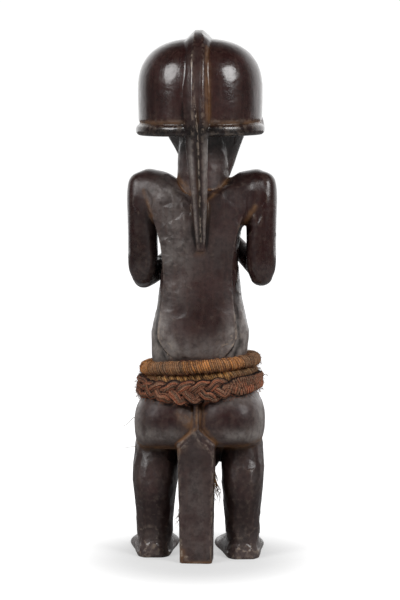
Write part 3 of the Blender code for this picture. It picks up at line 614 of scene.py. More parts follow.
# Hairs that stand off the belt: on which solid, how many, and its height, depth and lift there.
HAIRS = (
    ("belt_upper_rope", 900, UPPER_SWOLLEN, UPPER_SWOLLEN, 0.0),
    ("belt_middle_rope", 400, MIDDLE_SWOLLEN, MIDDLE_SWOLLEN, 0.0),
    ("belt_plait", 900, PLAIT_SWELLING * PLAIT_HEIGHT, PLAIT_DEPTH, PLAIT_LIFT),
)
HAIR_STEPS = 900  # places round the belt that a hair may start from
HAIR_THICKNESS = 0.00017
HAIR_LENGTH = (0.002, 0.006)
HAIR_SHADE = (0, 0.7)
LOOSE_THICKNESS = 0.00042
TUFT_THICKNESS = 0.00026
LOOSE_SHADE = (0.6, 0.95)
FIBRE_STEPS = 16

# The wood's colours, as linear red, green and blue: among them a pale grey painted sheen, a near-black
# painted shade for the creases, and a dark painted shade for under things, grooves and gaps.
WOOD = {
    "dark": (0.0255, 0.0104, 0.0096, 1),
    "brown": (0.0520, 0.0222, 0.0204, 1),
    "red": (0.0270, 0.0052, 0.0050, 1),
    "painted_sheen": (0.370, 0.332, 0.308, 1),
    "streak": (0.080, 0.044, 0.036, 1),
    "mottle": (0.0060, 0.0034, 0.0032, 1),
    "crease_dirt_and_shade": (0.0070, 0.0028, 0.0024, 1),
    "ochre_dirt": (0.150, 0.066, 0.024, 1),
    "stain": (0.200, 0.095, 0.038, 1),
    "painted_shade": (0.0075, 0.0045, 0.0040, 1),
    "bare": (0.420, 0.330, 0.260, 1),
}
# The fibres' colours: dry strands, rich strands, and a dark brown for dark specks and fibres and for the
# painted shade down in the furrows and between strands.
FIBRES = {
    "ochre_fibre": ((0.250, 0.150, 0.092, 1), (0.820, 0.320, 0.080, 1), (0.016, 0.007, 0.004, 1)),
    "brown_fibre": ((0.270, 0.155, 0.082, 1), (0.950, 0.470, 0.140, 1), (0.018, 0.008, 0.004, 1)),
    "rust_fibre": ((0.190, 0.100, 0.058, 1), (0.500, 0.125, 0.050, 1), (0.010, 0.004, 0.003, 1)),
}
PALE_FIBRE = (0.60, 0.43, 0.28, 1)


def through(rows, count):
    """Count rows on a Hermite spline through the table's rows, over the row number."""
    rows = np.array(rows, float)
    slope = np.gradient(rows, axis=0)
    at = np.linspace(0, len(rows) - 1, count)
    low = np.minimum(at.astype(int), len(rows) - 2)
    t = (at - low)[:, None]
    before, after = rows[low], rows[low + 1]
    return (
        (2 * t**3 - 3 * t**2 + 1) * before
        + (t**3 - 2 * t**2 + t) * slope[low]
        + (3 * t**2 - 2 * t**3) * after
        + (t**3 - t**2) * slope[low + 1]
    )


def circle(count):
    angle = np.arange(count) * 2 * math.pi / count
    return np.cos(angle), np.sin(angle)


def unit(vectors):
    """The vectors made one long."""
    return vectors / np.linalg.norm(vectors, axis=-1, keepdims=True)


def round_ways(line):
    """The ways on along a closed line, from each point's two neighbours."""
    return unit(np.roll(line, -1, axis=0) - np.roll(line, 1, axis=0))


def full(value, fullness):
    """A circle's coordinate turned into that of a superellipse."""
    return np.sign(value) * np.abs(value) ** (2.0 / fullness)


def level_rings(rows, rings, points):
    """Level superellipses whose front and back halves have depths of their own."""
    z, x, half, front, widest, back, fullness = (c[:, None] for c in through(rows, rings).T)
    c, s = circle(points)
    depth = np.where(s > 0, back - widest, widest - front)
    return np.stack(
        [x + half * full(c, fullness), widest + depth * full(s, fullness), z + 0 * c], axis=2
    )


def rounded(rings, start, end, steps=8):
    """The rings with domed ends: copies that shrink as a cosine while they move on as a sine."""
    out = [rings]
    ends = ((start, rings[0], rings[1], True), (end, rings[-1], rings[-2], False))
    for reach, edge, inner, at_start in ends:
        if not reach:
            continue
        middle = edge.mean(0)
        way = unit(middle - inner.mean(0))
        turns = np.linspace(0, math.pi / 2, steps + 1)[1:, None, None]
        cap = middle + (edge - middle) * np.cos(turns) + way * reach * np.sin(turns)
        out = [cap[::-1]] + out if at_start else out + [cap]
    return np.concatenate(out)


def level_form(name, rows):
    """A form made of level rings through its rows, with domed ends, on its own grid."""
    rings, points, start, end = GRIDS[name]
    return rounded(level_rings(rows, rings, points), start, end)


def turned(points, degrees):
    """The points turned about +Z, so that what faces -Y turns towards +X."""
    turn = math.radians(degrees)
    spin = np.array([[math.cos(turn), math.sin(turn), 0], [-math.sin(turn), math.cos(turn), 0], [0, 0, 1]])
    return points @ spin


def buttock_rings(side):
    return level_form("buttock", BUTTOCK) + np.array([BUTTOCK_MIDDLE[side], 0, BUTTOCK_LIFT[side]])


def leg_rings(side):
    mirror = 1 if side == "left" else -1
    stretch = np.array([mirror * LEG_GIRTH[side], 1, 1])
    return level_form("leg", LEG) * stretch + np.array([LEG_MIDDLE[side], 0, 0])


def foot_rings(side):
    """Sections across the foot: a flat sole under a rounded instep, grooved between the toes."""
    rings, points, heel, tip = GRIDS["foot"]
    y, half, height, lean = (c[:, None] for c in through(FOOT, rings).T)
    angle = np.linspace(0, math.pi, points)
    c, s = np.cos(angle), np.sin(angle)
    toes = np.clip((TOE_GROOVES_FROM_Y - y) / TOE_GROOVES_GROW, 0, 1) * TOE_GROOVE_DEPTH
    groove = toes * (0.5 + 0.5 * np.cos(c * math.pi * TOES)) ** 2 * (np.abs(c) < 0.98)
    x = half * c * (1 - INSTEP_TAPER * s) - lean * s
    z = SOLE_THICKNESS + (height - SOLE_THICKNESS) * full(s, INSTEP_FULLNESS) - groove * s
    top = np.stack([x, y + 0 * c, z], axis=2)
    sole = np.stack([half * c * SOLE_SHARE, y + 0 * c, 0 * z], axis=2)[:, ::-1]
    rings = rounded(np.concatenate([top, sole], axis=1), heel, tip)
    rings[..., 2] = np.maximum(rings[..., 2], 0)
    mirror = 1 if side == "left" else -1
    rings = rings * np.array([mirror, 1, 1])
    return turned(rings, FOOT_TURN[side]) + np.array([FOOT_MIDDLE[side], 0, 0])


def plate_rings():
    """The back plate: a bowed back between two sharp edges, with its sides run into the trunk."""
    rings, points = GRIDS["back_plate"][:2]
    z, half, edge, middle = (c[:, None] for c in through(BACK_PLATE, rings).T)
    across = np.linspace(1, -1, points)
    notch = PLATE_NOTCH_DEPTH * np.clip((z - PLATE_NOTCH_FOOT_Z) / (z.max() - PLATE_NOTCH_FOOT_Z), 0, 1)
    lowered = notch * np.clip(1 - np.abs(half * across) / PLATE_NOTCH_HALF_WIDTH, 0, 1)
    back = np.stack([half * across, edge + (middle - edge) * (1 - across**2), z - lowered], axis=2)
    inside = np.linspace(-1, 1, points // 2 + 1)
    root = [PLATE_ROOT_SHARE * half * inside, PLATE_ROOT + 0 * inside + 0 * z, z - notch + 0 * inside]
    return np.concatenate([back, np.stack(root, axis=2)], axis=1)


def shoulder_rings():
    """Sections across the shoulders, whose tops fall away to the back."""
    rings, points, left, right = GRIDS["shoulders"]
    x, front, back, bottom, top = (c[:, None] for c in through(SHOULDERS, rings).T)
    c, s = circle(points)
    y = (front + back) / 2 + (back - front) / 2 * full(c, SHOULDER_FULLNESS)
    z = (bottom + top) / 2 + (top - bottom) / 2 * full(s, SHOULDER_FULLNESS)
    z = z - SHOULDER_FALL * np.clip(s, 0, 1) * np.clip(c, -0.2, 1)
    return rounded(np.stack([x + 0 * c, y, z], axis=2), left, right)


def upper_arm_rings(side):
    rows = [(z, 0, half, front, widest, back, ARM_FULLNESS) for z, half, front, widest, back in UPPER_ARM]
    return level_form("upper_arm", rows) + np.array([ARM_MIDDLE[side], 0, 0])


def carried_form(name, rows, fullness=2.2):
    """Sections carried along the rows' own line, upright across it, with domed ends."""
    rings, points, start, end = GRIDS[name]
    table = through(rows, rings)
    line, half, high = table[:, :3], table[:, 3, None, None], table[:, 4, None, None]
    way = unit(np.gradient(line, axis=0))
    across = unit(np.cross(way, (0, 0, 1.0)))
    up = np.cross(across, way)
    c, s = circle(points)
    sections = (
        line[:, None]
        + across[:, None] * full(c, fullness)[None, :, None] * half
        + up[:, None] * full(s, fullness)[None, :, None] * high
    )
    return rounded(sections, start, end)


def face_relief(x, z):
    """How far the carved features stand out of the smooth face: bell-shaped bumps and a wedge of a nose."""

    def bump(height, cx, cz, wide, high):
        return height * np.exp(-(((x - cx) / wide) ** 2) - ((z - cz) / high) ** 2)

    features = sum(bump(*row) for row in FACE_MIDDLES)
    for height, cx, *rest in FACE_PAIRS:
        features = features + bump(height, -cx, *rest) + bump(height, cx, *rest)
    down = np.clip((NOSE_ROOT_Z - z) / (NOSE_ROOT_Z - NOSE_TIP_Z), 0, 1)
    width = NOSE_BRIDGE + NOSE_FLARE * down**3
    nose = (0.25 + 0.75 * down) * NOSE_LENGTH * np.exp(-((x / width) ** 2))
    nose = nose * (1 / (1 + np.exp((NOSE_TIP_Z - 1.5 - z) / 0.8))) * (z < NOSE_ROOT_Z + 2)
    return features + nose


def skull_rings():
    rings, points, start, end = GRIDS["skull"]
    z, half, front, widest, back, fullness = (c[:, None] for c in through(SKULL, rings).T)
    c, s = circle(points)
    depth = np.where(s > 0, back - widest, widest - front)
    x, y = half * full(c, fullness), widest + depth * full(s, fullness)
    facing = np.clip(-s, 0, 1) ** 1.5
    y = y - face_relief(x, z) * facing
    rings = rounded(np.stack([x, y, z + 0 * c], axis=2), start, end)
    middle = np.array([0, HEAD_MIDDLE_Y, 0])
    return turned(rings - middle, -FACE_TURN) + middle + np.array([FACE_SHIFT, 0, 0])


def dome_share(z):
    """The dome's half width at a height, as a share of its greatest."""
    up = np.clip((z - DOME_WIDEST_Z) / (DOME_TOP_Z - DOME_WIDEST_Z), 0, 1)
    down = np.clip((DOME_WIDEST_Z - z) / (DOME_WIDEST_Z - BRIM_BACK_Z), 0, 1.2)
    above = (1 - up**DOME_FULLNESS) ** (1 / DOME_FULLNESS)
    return above - DOME_TAPER / DOME_HALF_WIDTH * down**2


def edge_height(back):
    """The height of the dome's edge, by how far back a place is: from -1 in front of the head to 1 behind."""
    forward = np.clip((-back - BRIM_RISE_START) / (1 - BRIM_RISE_START), 0, 1) ** BRIM_RISE_BEND
    behind = BRIM_SIDE_Z + (BRIM_BACK_Z - BRIM_SIDE_Z) * back
    return np.where(back > 0, behind, BRIM_SIDE_Z + (BRIM_FRONT_Z - BRIM_SIDE_Z) * forward)


def dome_rings():
    """The dome from the crown down to the brim, then up again under it to close the form."""
    rings, points = DOME_GRID
    c, s = circle(points)
    rim = edge_height(s)
    share = np.sin(np.linspace(0, math.pi / 2, rings))[1:, None]
    z = DOME_TOP_Z - (DOME_TOP_Z - rim) * (1 - np.sqrt(1 - share**2)) ** DOME_RING_SPREAD
    wide = dome_share(z)
    x = DOME_HALF_WIDTH * wide * full(c, HEAD_ROUNDNESS)
    y = DOME_HALF_DEPTH * wide * full(s, HEAD_ROUNDNESS)
    groove = BRIM_GROOVE_DEPTH * np.exp(-(((z - rim - BRIM_GROOVE_RISE) / BRIM_GROOVE_WIDTH) ** 2))
    outer = np.stack([x - groove * c, y - groove * s, z], axis=2)
    crown = np.repeat(np.array([[[0.0, 0.0, DOME_TOP_Z]]]), points, axis=1)
    under = outer[-1:] * np.array([HELMET_HOLLOW_SHARE, HELMET_HOLLOW_SHARE, 1.0])
    inner = np.repeat(np.array([[[0.0, -2.0, HELMET_HOLLOW_Z]]]), points, axis=1)
    return np.concatenate([crown, outer, under, inner]) + np.array([HEAD_MIDDLE_X, HEAD_MIDDLE_Y, 0])


def brim_rings():
    """The brim's roll, as rings round a line that goes round the head."""
    rings, points = BRIM_GRID
    c, s = circle(rings)
    z = edge_height(s)
    wide = dome_share(z)
    x = (DOME_HALF_WIDTH * wide - BRIM_INSET) * full(c, HEAD_ROUNDNESS) + BRIM_SIDE_REACH * c**3
    y = (DOME_HALF_DEPTH * wide - BRIM_INSET) * full(s, HEAD_ROUNDNESS) + HEAD_MIDDLE_Y
    line = np.stack([x + HEAD_MIDDLE_X, y, z - BRIM_DROP], axis=1)
    out = np.stack([c, s, 0 * c], axis=1)
    way = round_ways(line)
    up = unit(np.cross(out, way))
    out = np.cross(way, up)
    k, m = circle(points)
    high = (BRIM_HALF_HEIGHT + BRIM_SIDE_SWELLING * np.abs(c))[:, None, None]
    fullness = (BRIM_FULLNESS - BRIM_SIDE_ROUNDING * c**4)[:, None]
    roll = (
        line[:, None]
        + out[:, None] * BRIM_HALF_DEPTH * full(k[None], fullness)[..., None]
        + up[:, None] * high * full(m[None], fullness)[..., None]
    )
    return np.concatenate([roll, roll[:1]])


def crest_rings():
    """The crest and its tail: a keel with sloping flanks and a shallow channel along its outer edge."""
    y, z, x, root, edge, depth = through(CREST, CREST_RINGS).T
    line = np.stack([x, y, z], axis=1)
    across = np.array([[1.0, 0, 0]])
    inward = unit(np.cross(unit(np.gradient(line, axis=0)), across))
    behind = np.clip((y - 30) / 12, 0, 1)
    lower = np.clip((440 - z) / 30, 0, 1)
    cut = CREST_GROOVE * behind * (0.3 + 0.7 * lower)
    on_dome = behind * np.clip((z - 360) / 40, 0, 1)
    edge = edge * (1 + CREST_FACE_WIDENING * behind)
    root = root * (1 + CREST_ROOT_WIDENING * on_dome)
    shift = CREST_FACE_SHIFT * on_dome
    flare = CREST_FLARE_TOP + (CREST_FLARE_BACK - CREST_FLARE_TOP) * np.clip((y - 20) / 30, 0, 1)
    flank = (edge + root) / 2
    steps = (
        (edge, 0.9 + 0 * depth), (edge * 0.84, 0 * depth), (edge * 0.66, 0.1 * cut), (edge * 0.2, 0.85 * cut),
        (edge * -0.1, cut), (-edge * 0.4, 0.75 * cut), (-edge * 0.74, 0.05 * cut), (-edge * 0.86, 0 * depth),
        (-edge, 0.7 + 0 * depth), (-flank, 0.5 * flare), (-root, flare), (-root, depth),
        (root, depth), (root, flare), (flank, 0.5 * flare),
    )
    moved = [shift * np.clip(1 - d / flare, 0, 1) for _, d in steps]
    return np.stack(
        [line + across * (w + m)[:, None] + inward * d[:, None] for (w, d), m in zip(steps, moved)], axis=1
    )


def navel_rings():
    x, y, z = NAVEL
    rings, points = NAVEL_GRID
    c, s = circle(points)
    reach = np.linspace(-4.0, 0.8 * NAVEL_LENGTH, rings)[:, None]
    radius = NAVEL_RADIUS * (1.12 - 0.25 * np.clip(reach / NAVEL_LENGTH, 0, 1))
    rings = np.stack([x + radius * c, y - reach + 0 * c, z + radius * s], axis=2)
    return rounded(rings, 0, 0.2 * NAVEL_LENGTH)


def post_rings():
    """The post from the floor to the buttocks, and the narrow spine that runs on up into the cleft."""
    rows = np.array([
        (0, POST_FOOT_WIDTH / 2, POST_BACK_Y, POST_DEPTH),
        (POST_TOP_Z / 2, (POST_FOOT_WIDTH + POST_TOP_WIDTH) / 4, POST_BACK_Y, POST_DEPTH),
        (POST_TOP_Z - 10, POST_TOP_WIDTH / 2, POST_BACK_Y, POST_DEPTH),
        (POST_TOP_Z - 5, POST_TOP_WIDTH / 2 + 0.8, POST_BACK_Y, POST_DEPTH),
        (POST_TOP_Z - 2.6, POST_TOP_WIDTH / 2 - 1.4, POST_BACK_Y - 0.4, POST_DEPTH),
        (POST_TOP_Z + 2, POST_TOP_WIDTH / 3.2, POST_BACK_Y - 0.8, POST_DEPTH),
        (POST_TOP_Z + 9, SPINE_HALF_WIDTH, POST_BACK_Y - 2, POST_DEPTH),
        (SPINE_TOP_Z - 12, 0.9 * SPINE_HALF_WIDTH, POST_BACK_Y - 6, POST_DEPTH),
        (SPINE_TOP_Z, 0.8 * SPINE_HALF_WIDTH, POST_BACK_Y - 14, 0.7 * POST_DEPTH),
    ])
    height = np.linspace(0, SPINE_TOP_Z, POST_RINGS)
    half, back, deep = (np.interp(height, rows[:, 0], rows[:, i]) for i in (1, 2, 3))
    cut = np.minimum(POST_EDGE, half * 0.45)
    front = back - deep
    steps = (
        (half, back - cut), (half - cut, back), (cut - half, back), (-half, back - cut),
        (-half, front + cut), (cut - half, front), (half - cut, front), (half, front + cut),
    )
    return np.stack([np.stack([x, y, height], axis=1) for x, y in steps], axis=1)


def grid_faces(rings, points, first):
    """Quads between rings of points, closed round each ring, as rows of four point numbers."""
    i, j = np.meshgrid(np.arange(rings - 1), np.arange(points), indexing="ij")
    k = (j + 1) % points
    quads = np.stack([i * points + j, i * points + k, (i + 1) * points + k, (i + 1) * points + j], axis=2)
    return quads.reshape(-1, 4) + first


def joined_forms(forms):
    """All forms as one mesh of closed shells: their grids, each with its two ends filled."""
    places, faces, first = [], [], 0
    for rings, ends in forms:
        count, points = rings.shape[:2]
        places.append(rings.reshape(-1, 3) * MM)
        faces += grid_faces(count, points, first).tolist()
        if ends:
            faces.append(list(range(first, first + points))[::-1])
            faces.append(list(range(first + (count - 1) * points, first + count * points)))
        first += count * points
    mesh = bpy.data.meshes.new("forms")
    mesh.from_pydata(np.concatenate(places).tolist(), [], faces)
    mesh.update()
    return mesh


def carving_forms():
    """Every form of the carving as a grid of rings, and whether its ends are filled."""
    forms = [
        (level_form("torso", TORSO), True),
        (level_form("pelvis", PELVIS), True),
        (plate_rings(), True),
        (shoulder_rings(), True),
        (level_form("neck", NECK), True),
        (skull_rings(), True),
        (dome_rings(), False),
        (brim_rings(), False),
        (crest_rings(), True),
        (navel_rings(), True),
        (post_rings(), True),
    ]
    for side in ("left", "right"):
        forms += [
            (buttock_rings(side), True),
            (leg_rings(side), True),
            (foot_rings(side), True),
            (upper_arm_rings(side), True),
            (carried_form("forearm", FOREARM[side]), True),
            (carried_form("hand", HAND[side], HAND_FULLNESS), True),
        ]
    return forms


def link(obj):
    bpy.context.scene.collection.objects.link(obj)
    return obj


def evaluated_mesh(obj, name):
    made = bpy.data.meshes.new_from_object(obj.evaluated_get(bpy.context.evaluated_depsgraph_get()))
    made.name = name
    return made


def joined_skin():
    """One skin round all the forms: a voxel remesh of their joined shells, drawn back to their surfaces."""
    forms = link(bpy.data.objects.new("forms", joined_forms(carving_forms())))
    skin = link(bpy.data.objects.new("skin", forms.data))
    remesh = skin.modifiers.new("joined", "REMESH")
    remesh.mode = "VOXEL"
    remesh.voxel_size = SKIN_VOXEL
    drawn = skin.modifiers.new("drawn_to_forms", "SHRINKWRAP")
    drawn.target = forms
    mesh = evaluated_mesh(skin, "carving")
    bpy.data.objects.remove(skin)
    bpy.data.objects.remove(forms)
    return mesh


def places_of(mesh):
    out = np.empty(len(mesh.vertices) * 3, np.float32)
    mesh.vertices.foreach_get("co", out)
    return out.reshape(-1, 3).astype(float)


def normals_of(mesh):
    out = np.empty(len(mesh.vertices) * 3, np.float32)
    mesh.vertex_normals.foreach_get("vector", out)
    return out.reshape(-1, 3).astype(float)


def put(mesh, places):
    mesh.vertices.foreach_set("co", places.astype(np.float32).ravel())
    mesh.update()


class Neighbours:
    """Means over each point's neighbours, from the mesh's edges."""

    def __init__(self, mesh):
        ends = np.empty(len(mesh.edges) * 2, np.int32)
        mesh.edges.foreach_get("vertices", ends)
        self.a, self.b = ends.reshape(-1, 2).T
        self.count = len(mesh.vertices)
        self.total = np.bincount(self.a, minlength=self.count) + np.bincount(self.b, minlength=self.count)

    def mean(self, values):
        if values.ndim > 1:
            return np.stack([self.mean(values[:, i]) for i in range(values.shape[1])], axis=1)
        from_b = np.bincount(self.a, values[self.b], self.count)
        from_a = np.bincount(self.b, values[self.a], self.count)
        return (from_b + from_a) / np.maximum(self.total, 1)

    def smooth(self, values, times, share=0.5):
        for _ in range(times):
            values = values + share * (self.mean(values) - values)
        return values


def spread_points(places, spacing, rng):
    """About one point for each square of that spacing: the first point met in each cell of a lattice."""
    order = rng.permutation(len(places))
    cells = np.floor(places[order] / spacing + 0.5 * rng.random(3)).astype(int)
    _, first = np.unique(cells, axis=0, return_index=True)
    return order[first]


def patch(places, x, y, z, wide, deep, high):
    """A soft ellipsoid's weight at each point: one in its middle and fading out as a bell curve."""
    away = (places / MM - np.array([x, y, z])) / np.array([wide, deep, high])
    return np.exp(-(away**2).sum(1))


def patches(places, rows):
    """The sum of the patches in a table, up to one: strength, then middle and sizes, in millimetres."""
    return np.clip(sum(strength * patch(places, *row) for strength, *row in rows), 0, 1)


def near_lines(places, rows):
    """How near each point on the back lies to lines seen from behind: a bell curve over the distance."""
    x, y, z = places.T / MM
    most = np.zeros(len(places))
    for strength, wide, x0, z0, x1, z1 in rows:
        dx, dz = x1 - x0, z1 - z0
        share = np.clip(((x - x0) * dx + (z - z0) * dz) / (dx**2 + dz**2), 0, 1)
        away = (x - x0 - share * dx) ** 2 + (z - z0 - share * dz) ** 2
        most = np.maximum(most, strength * np.exp(-away / wide**2))
    return most * np.clip(y / 8, 0, 1)


def rim_height(places):
    """The dome's edge at each point's side of the head, and how far out the point lies, as a share."""
    x, y, _ = places.T / MM
    out = np.hypot(x / DOME_HALF_WIDTH, (y - HEAD_MIDDLE_Y) / DOME_HALF_DEPTH)
    return edge_height(np.clip((y - HEAD_MIDDLE_Y) / DOME_HALF_DEPTH, -1, 1)), out


def stain_share(places):
    """The ochre stains: the drawn lines, and a line of residue right above the brim, beside the crest."""
    rim, out = rim_height(places)
    x, _, z = places.T / MM
    beside = np.clip((np.abs(x + 2) - 10) / 3, 0, 1)
    above = np.exp(-(((z - rim - RESIDUE_RISE) / RESIDUE_WIDTH) ** 2)) * (out > 0.75) * beside
    return np.maximum(near_lines(places, STAIN_LINES), RESIDUE_STRENGTH * above)


def wear_line(places):
    """The worn lines: the broken one down the crest, which is fainter on its tail, and the plate's edges."""
    y, z = places[:, 1], places[:, 2]
    rows = [(1.0, CREST_WEAR_WIDTH, *a, *b) for a, b in zip(CREST_WEAR[:-1], CREST_WEAR[1:])]
    crest = near_lines(places, rows) * (y > CREST_BEHIND_Y) * np.interp(z, (0.38, 0.41), (0.72, 1))
    return np.maximum(crest, near_lines(places, WORN_LINES) * (y > PLATE_BEHIND_Y))


def tool_strength(places):
    """How strongly the tool's cuts show at each point: most on the left of the back, least on the dome."""
    strength = np.interp(places[:, 2] / MM, *np.array(TOOL_STRENGTH).T)
    strength = strength + 1.2 * patch(places, *TOOL_PATCH)
    strength = strength - 0.6 * patches(places, ARM_PATCHES) - 0.7 * patches(places, ROUNDED_PATCHES)
    return np.maximum(strength, TOOL_LEAST)


def spared(places):
    """Which points the tool's flat cuts leave alone: the crest with its tail, and the brim's roll."""
    x, y, z = places.T / MM
    low, high = SPARED_CREST_X
    crest = (x > low) & (x < high) & ((y > SPARED_TAIL_Y) & (z > SPARED_TAIL_Z) | (z > SPARED_CROWN_Z))
    rim, out = rim_height(places)
    return crest | ((out > 0.8) & (np.abs(z - rim) < SPARED_BRIM))


def cut_facets(places, normals, broad, rng):
    """How deep the tool's flat cuts go below each point, where the surface is broad enough for them.

    Each cut is a plane through a chosen point, a little below it and tilted at random. A point is cut down
    to the deepest plane near it, and a plane fades out with the distance from its middle.
    """
    seeds = spread_points(places, FACET_SPACING, rng)
    seeds = seeds[broad[seeds] > 0.5]
    strength = tool_strength(places[seeds])
    middles = places[seeds]
    planes = normals[seeds] + rng.normal(0, FACET_TILT, (len(seeds), 3)) * strength[:, None]
    planes = unit(planes)
    depth = FACET_DEPTH * rng.uniform(0.5, 1.5, len(seeds)) * strength
    level = (middles * planes).sum(1) - depth
    reach = FACET_REACH * rng.uniform(0.75, 1.2, len(seeds))
    cut = np.zeros(len(places))
    order = np.argsort(places[:, 2])
    for chunk in np.array_split(order, len(order) // FACET_SWATH):
        p, n = places[chunk], normals[chunk]
        low, high = p[0, 2] - reach.max(), p[-1, 2] + reach.max()
        near = np.flatnonzero((middles[:, 2] > low) & (middles[:, 2] < high))
        m, w = middles[near], planes[near]
        far = (p**2).sum(1)[:, None] + (m**2).sum(1) - 2 * (p @ m.T)
        fade = np.sqrt(np.clip(1 - far / reach[near] ** 2, 0, 1))
        facing = np.clip(4 * (n @ w.T) - 2.4, 0, 1)
        cut[chunk] = ((p @ w.T - level[near]) * fade * facing).max(1)
    return np.clip(cut, 0, FACET_DEEPEST) * broad


def add_attribute(mesh, name, values):
    made = mesh.attributes.new(name, "FLOAT", "POINT")
    made.data.foreach_set("value", values.astype(np.float32))


def marks_on(near, places, normals):
    """What the finish is painted by: how far each point lies in a crease, on an edge or in each patch."""
    wide = ((near.smooth(places, CREASE_STEPS) - places) * normals).sum(1)
    fine = ((near.smooth(places, EDGE_STEPS) - places) * normals).sum(1)
    # Painted sheen on the lit faces of the crest's tail, and painted shade along grooves and gaps, as seen
    # from behind.
    crest_painted_sheen = near_lines(places, PAINTED_SHEEN_LINES) * (places[:, 1] > CREST_BEHIND_Y)
    painted_shade_lines = near_lines(places, PAINTED_SHADE_LINES) * (places[:, 1] > PAINTED_SHADE_BEHIND_Y)
    return {
        "crease": np.clip(near.smooth(wide, SOFTENING_STEPS) / CREASE_DEPTH, 0, 1),
        "edge": np.clip(-fine / EDGE_HEIGHT, 0, 1),
        "red": patches(places, ARM_PATCHES + RED_PATCHES),
        "painted_sheen": np.maximum(patches(places, PAINTED_SHEEN_PATCHES), crest_painted_sheen),
        "ochre": patches(places, OCHRE_PATCHES),
        "wear": patches(places, WEAR_PATCHES),
        "dull": patches(places, DULL_PATCHES),
        "painted_shade": np.maximum(patches(places, PAINTED_SHADE_PATCHES), painted_shade_lines),
        "hammered": patches(places, HAMMERED_PATCHES),
        "stain": stain_share(places),
        "line": wear_line(places),
    }


def carve_figure():
    """The carving's skin, cut with facets, with its marks kept as attributes for the finish."""
    rng = np.random.default_rng(SEED)
    mesh = joined_skin()
    near = Neighbours(mesh)
    places = near.smooth(places_of(mesh), SKIN_SMOOTHING)
    rounded_off = np.where(spared(places), 0, patches(places, ROUNDED_PATCHES))[:, None]
    filled = near.smooth(places, ROUNDING_STEPS) + ROUNDING_FILL * normals_of(mesh)
    put(mesh, places + rounded_off * (filled - places))
    places, normals = places_of(mesh), normals_of(mesh)
    soft = unit(near.smooth(normals, SOFT_NORMAL_STEPS))
    bend = np.abs(((near.smooth(places, BEND_STEPS) - places) * normals).sum(1))
    broad = near.smooth(np.clip((SHARP_BEND - bend) / BEND_FADE, 0, 1), SOFTENING_STEPS)
    broad = np.where(spared(places), 0, broad)
    cut = cut_facets(places, soft, broad, rng)
    lowest, growth = FLOOR_CLEAR
    places = places - soft * (cut * np.clip((places[:, 2] - lowest) / growth, 0, 1))[:, None]
    places[:, 2] = np.maximum(places[:, 2], 0)
    put(mesh, places)
    for name, values in marks_on(near, places, normals_of(mesh)).items():
        add_attribute(mesh, name, values)
    rough = link(bpy.data.objects.new("rough_carving", mesh))
    thin = rough.modifiers.new("thinned", "DECIMATE")
    thin.ratio = SKIN_TRIANGLES / (2 * len(mesh.polygons))
    made = evaluated_mesh(rough, "carving")
    bpy.data.objects.remove(rough)
    made.shade_smooth()
    return link(bpy.data.objects.new("carving", made))


class Nodes:
    """A node tree, with short ways to add the nodes that the finishes and the studio use."""

    def __init__(self, tree):
        self.tree = tree

    def fill(self, socket, value):
        if isinstance(value, bpy.types.NodeSocket):
            self.tree.links.new(value, socket)
        else:
            socket.default_value = value

    def node(self, kind, values=None, **settings):
        node = self.tree.nodes.new(kind)
        for key, value in settings.items():
            setattr(node, key, value)
        for key, value in (values or {}).items():
            self.fill(node.inputs[key], value)
        return node

    def band(self, value, low, high, to_low=0.0, to_high=1.0):
        values = {"Value": value, "From Min": low, "From Max": high, "To Min": to_low, "To Max": to_high}
        return self.node("ShaderNodeMapRange", values, interpolation_type="SMOOTHSTEP").outputs[0]

    def maths(self, operation, a, b):
        return self.node("ShaderNodeMath", {0: a, 1: b}, operation=operation).outputs[0]


class Finish(Nodes):
    """A material's node tree, with short ways to add the noises, mixtures and bumps of a surface."""

    def __init__(self, name):
        self.made = bpy.data.materials.new(name)
        self.made.use_nodes = True
        super().__init__(self.made.node_tree)
        self.shader = self.tree.nodes["Principled BSDF"]
        self.place = self.node("ShaderNodeTexCoord").outputs["Object"]

    def noise(self, scale, detail=4.0, rough=0.55, stretch=None):
        place = self.place
        if stretch:
            place = self.node("ShaderNodeMapping", {"Vector": place, "Scale": stretch}).outputs[0]
        values = {"Vector": place, "Scale": scale, "Detail": detail, "Roughness": rough}
        return self.node("ShaderNodeTexNoise", values).outputs["Fac"]

    def colour_noise(self, scale, size):
        """A vector of noise about nought, as long as size at the most."""
        noise = self.node("ShaderNodeTexNoise", {"Vector": self.place, "Scale": scale}).outputs["Color"]
        middle = self.vector("ADD", {0: noise, 1: (-0.5, -0.5, -0.5)})
        return self.vector("SCALE", {0: middle, "Scale": size})

    def vector(self, operation, values):
        return self.node("ShaderNodeVectorMath", values, operation=operation).outputs[0]

    def attribute(self, name):
        return self.node("ShaderNodeAttribute", attribute_name=name).outputs["Fac"]

    def patchy(self, name, noise, low, high, faintest=0.0):
        """An attribute broken up by noise, down to its faintest share where the noise is low."""
        return self.maths("MULTIPLY", self.attribute(name), self.band(noise, low, high, faintest))

    def mix(self, share, a, b):
        node = self.node("ShaderNodeMix", data_type="RGBA")
        for socket, value in ((0, share), (6, a), (7, b)):
            self.fill(node.inputs[socket], value)
        return node.outputs[2]

    def bump(self, height, strength, distance, under=None):
        values = {"Height": height, "Strength": strength, "Distance": distance}
        if under is not None:
            values["Normal"] = under
        return self.node("ShaderNodeBump", values).outputs[0]

    def set(self, **inputs):
        for key, value in inputs.items():
            self.fill(self.shader.inputs[key.replace("_", " ")], value)
        return self.made


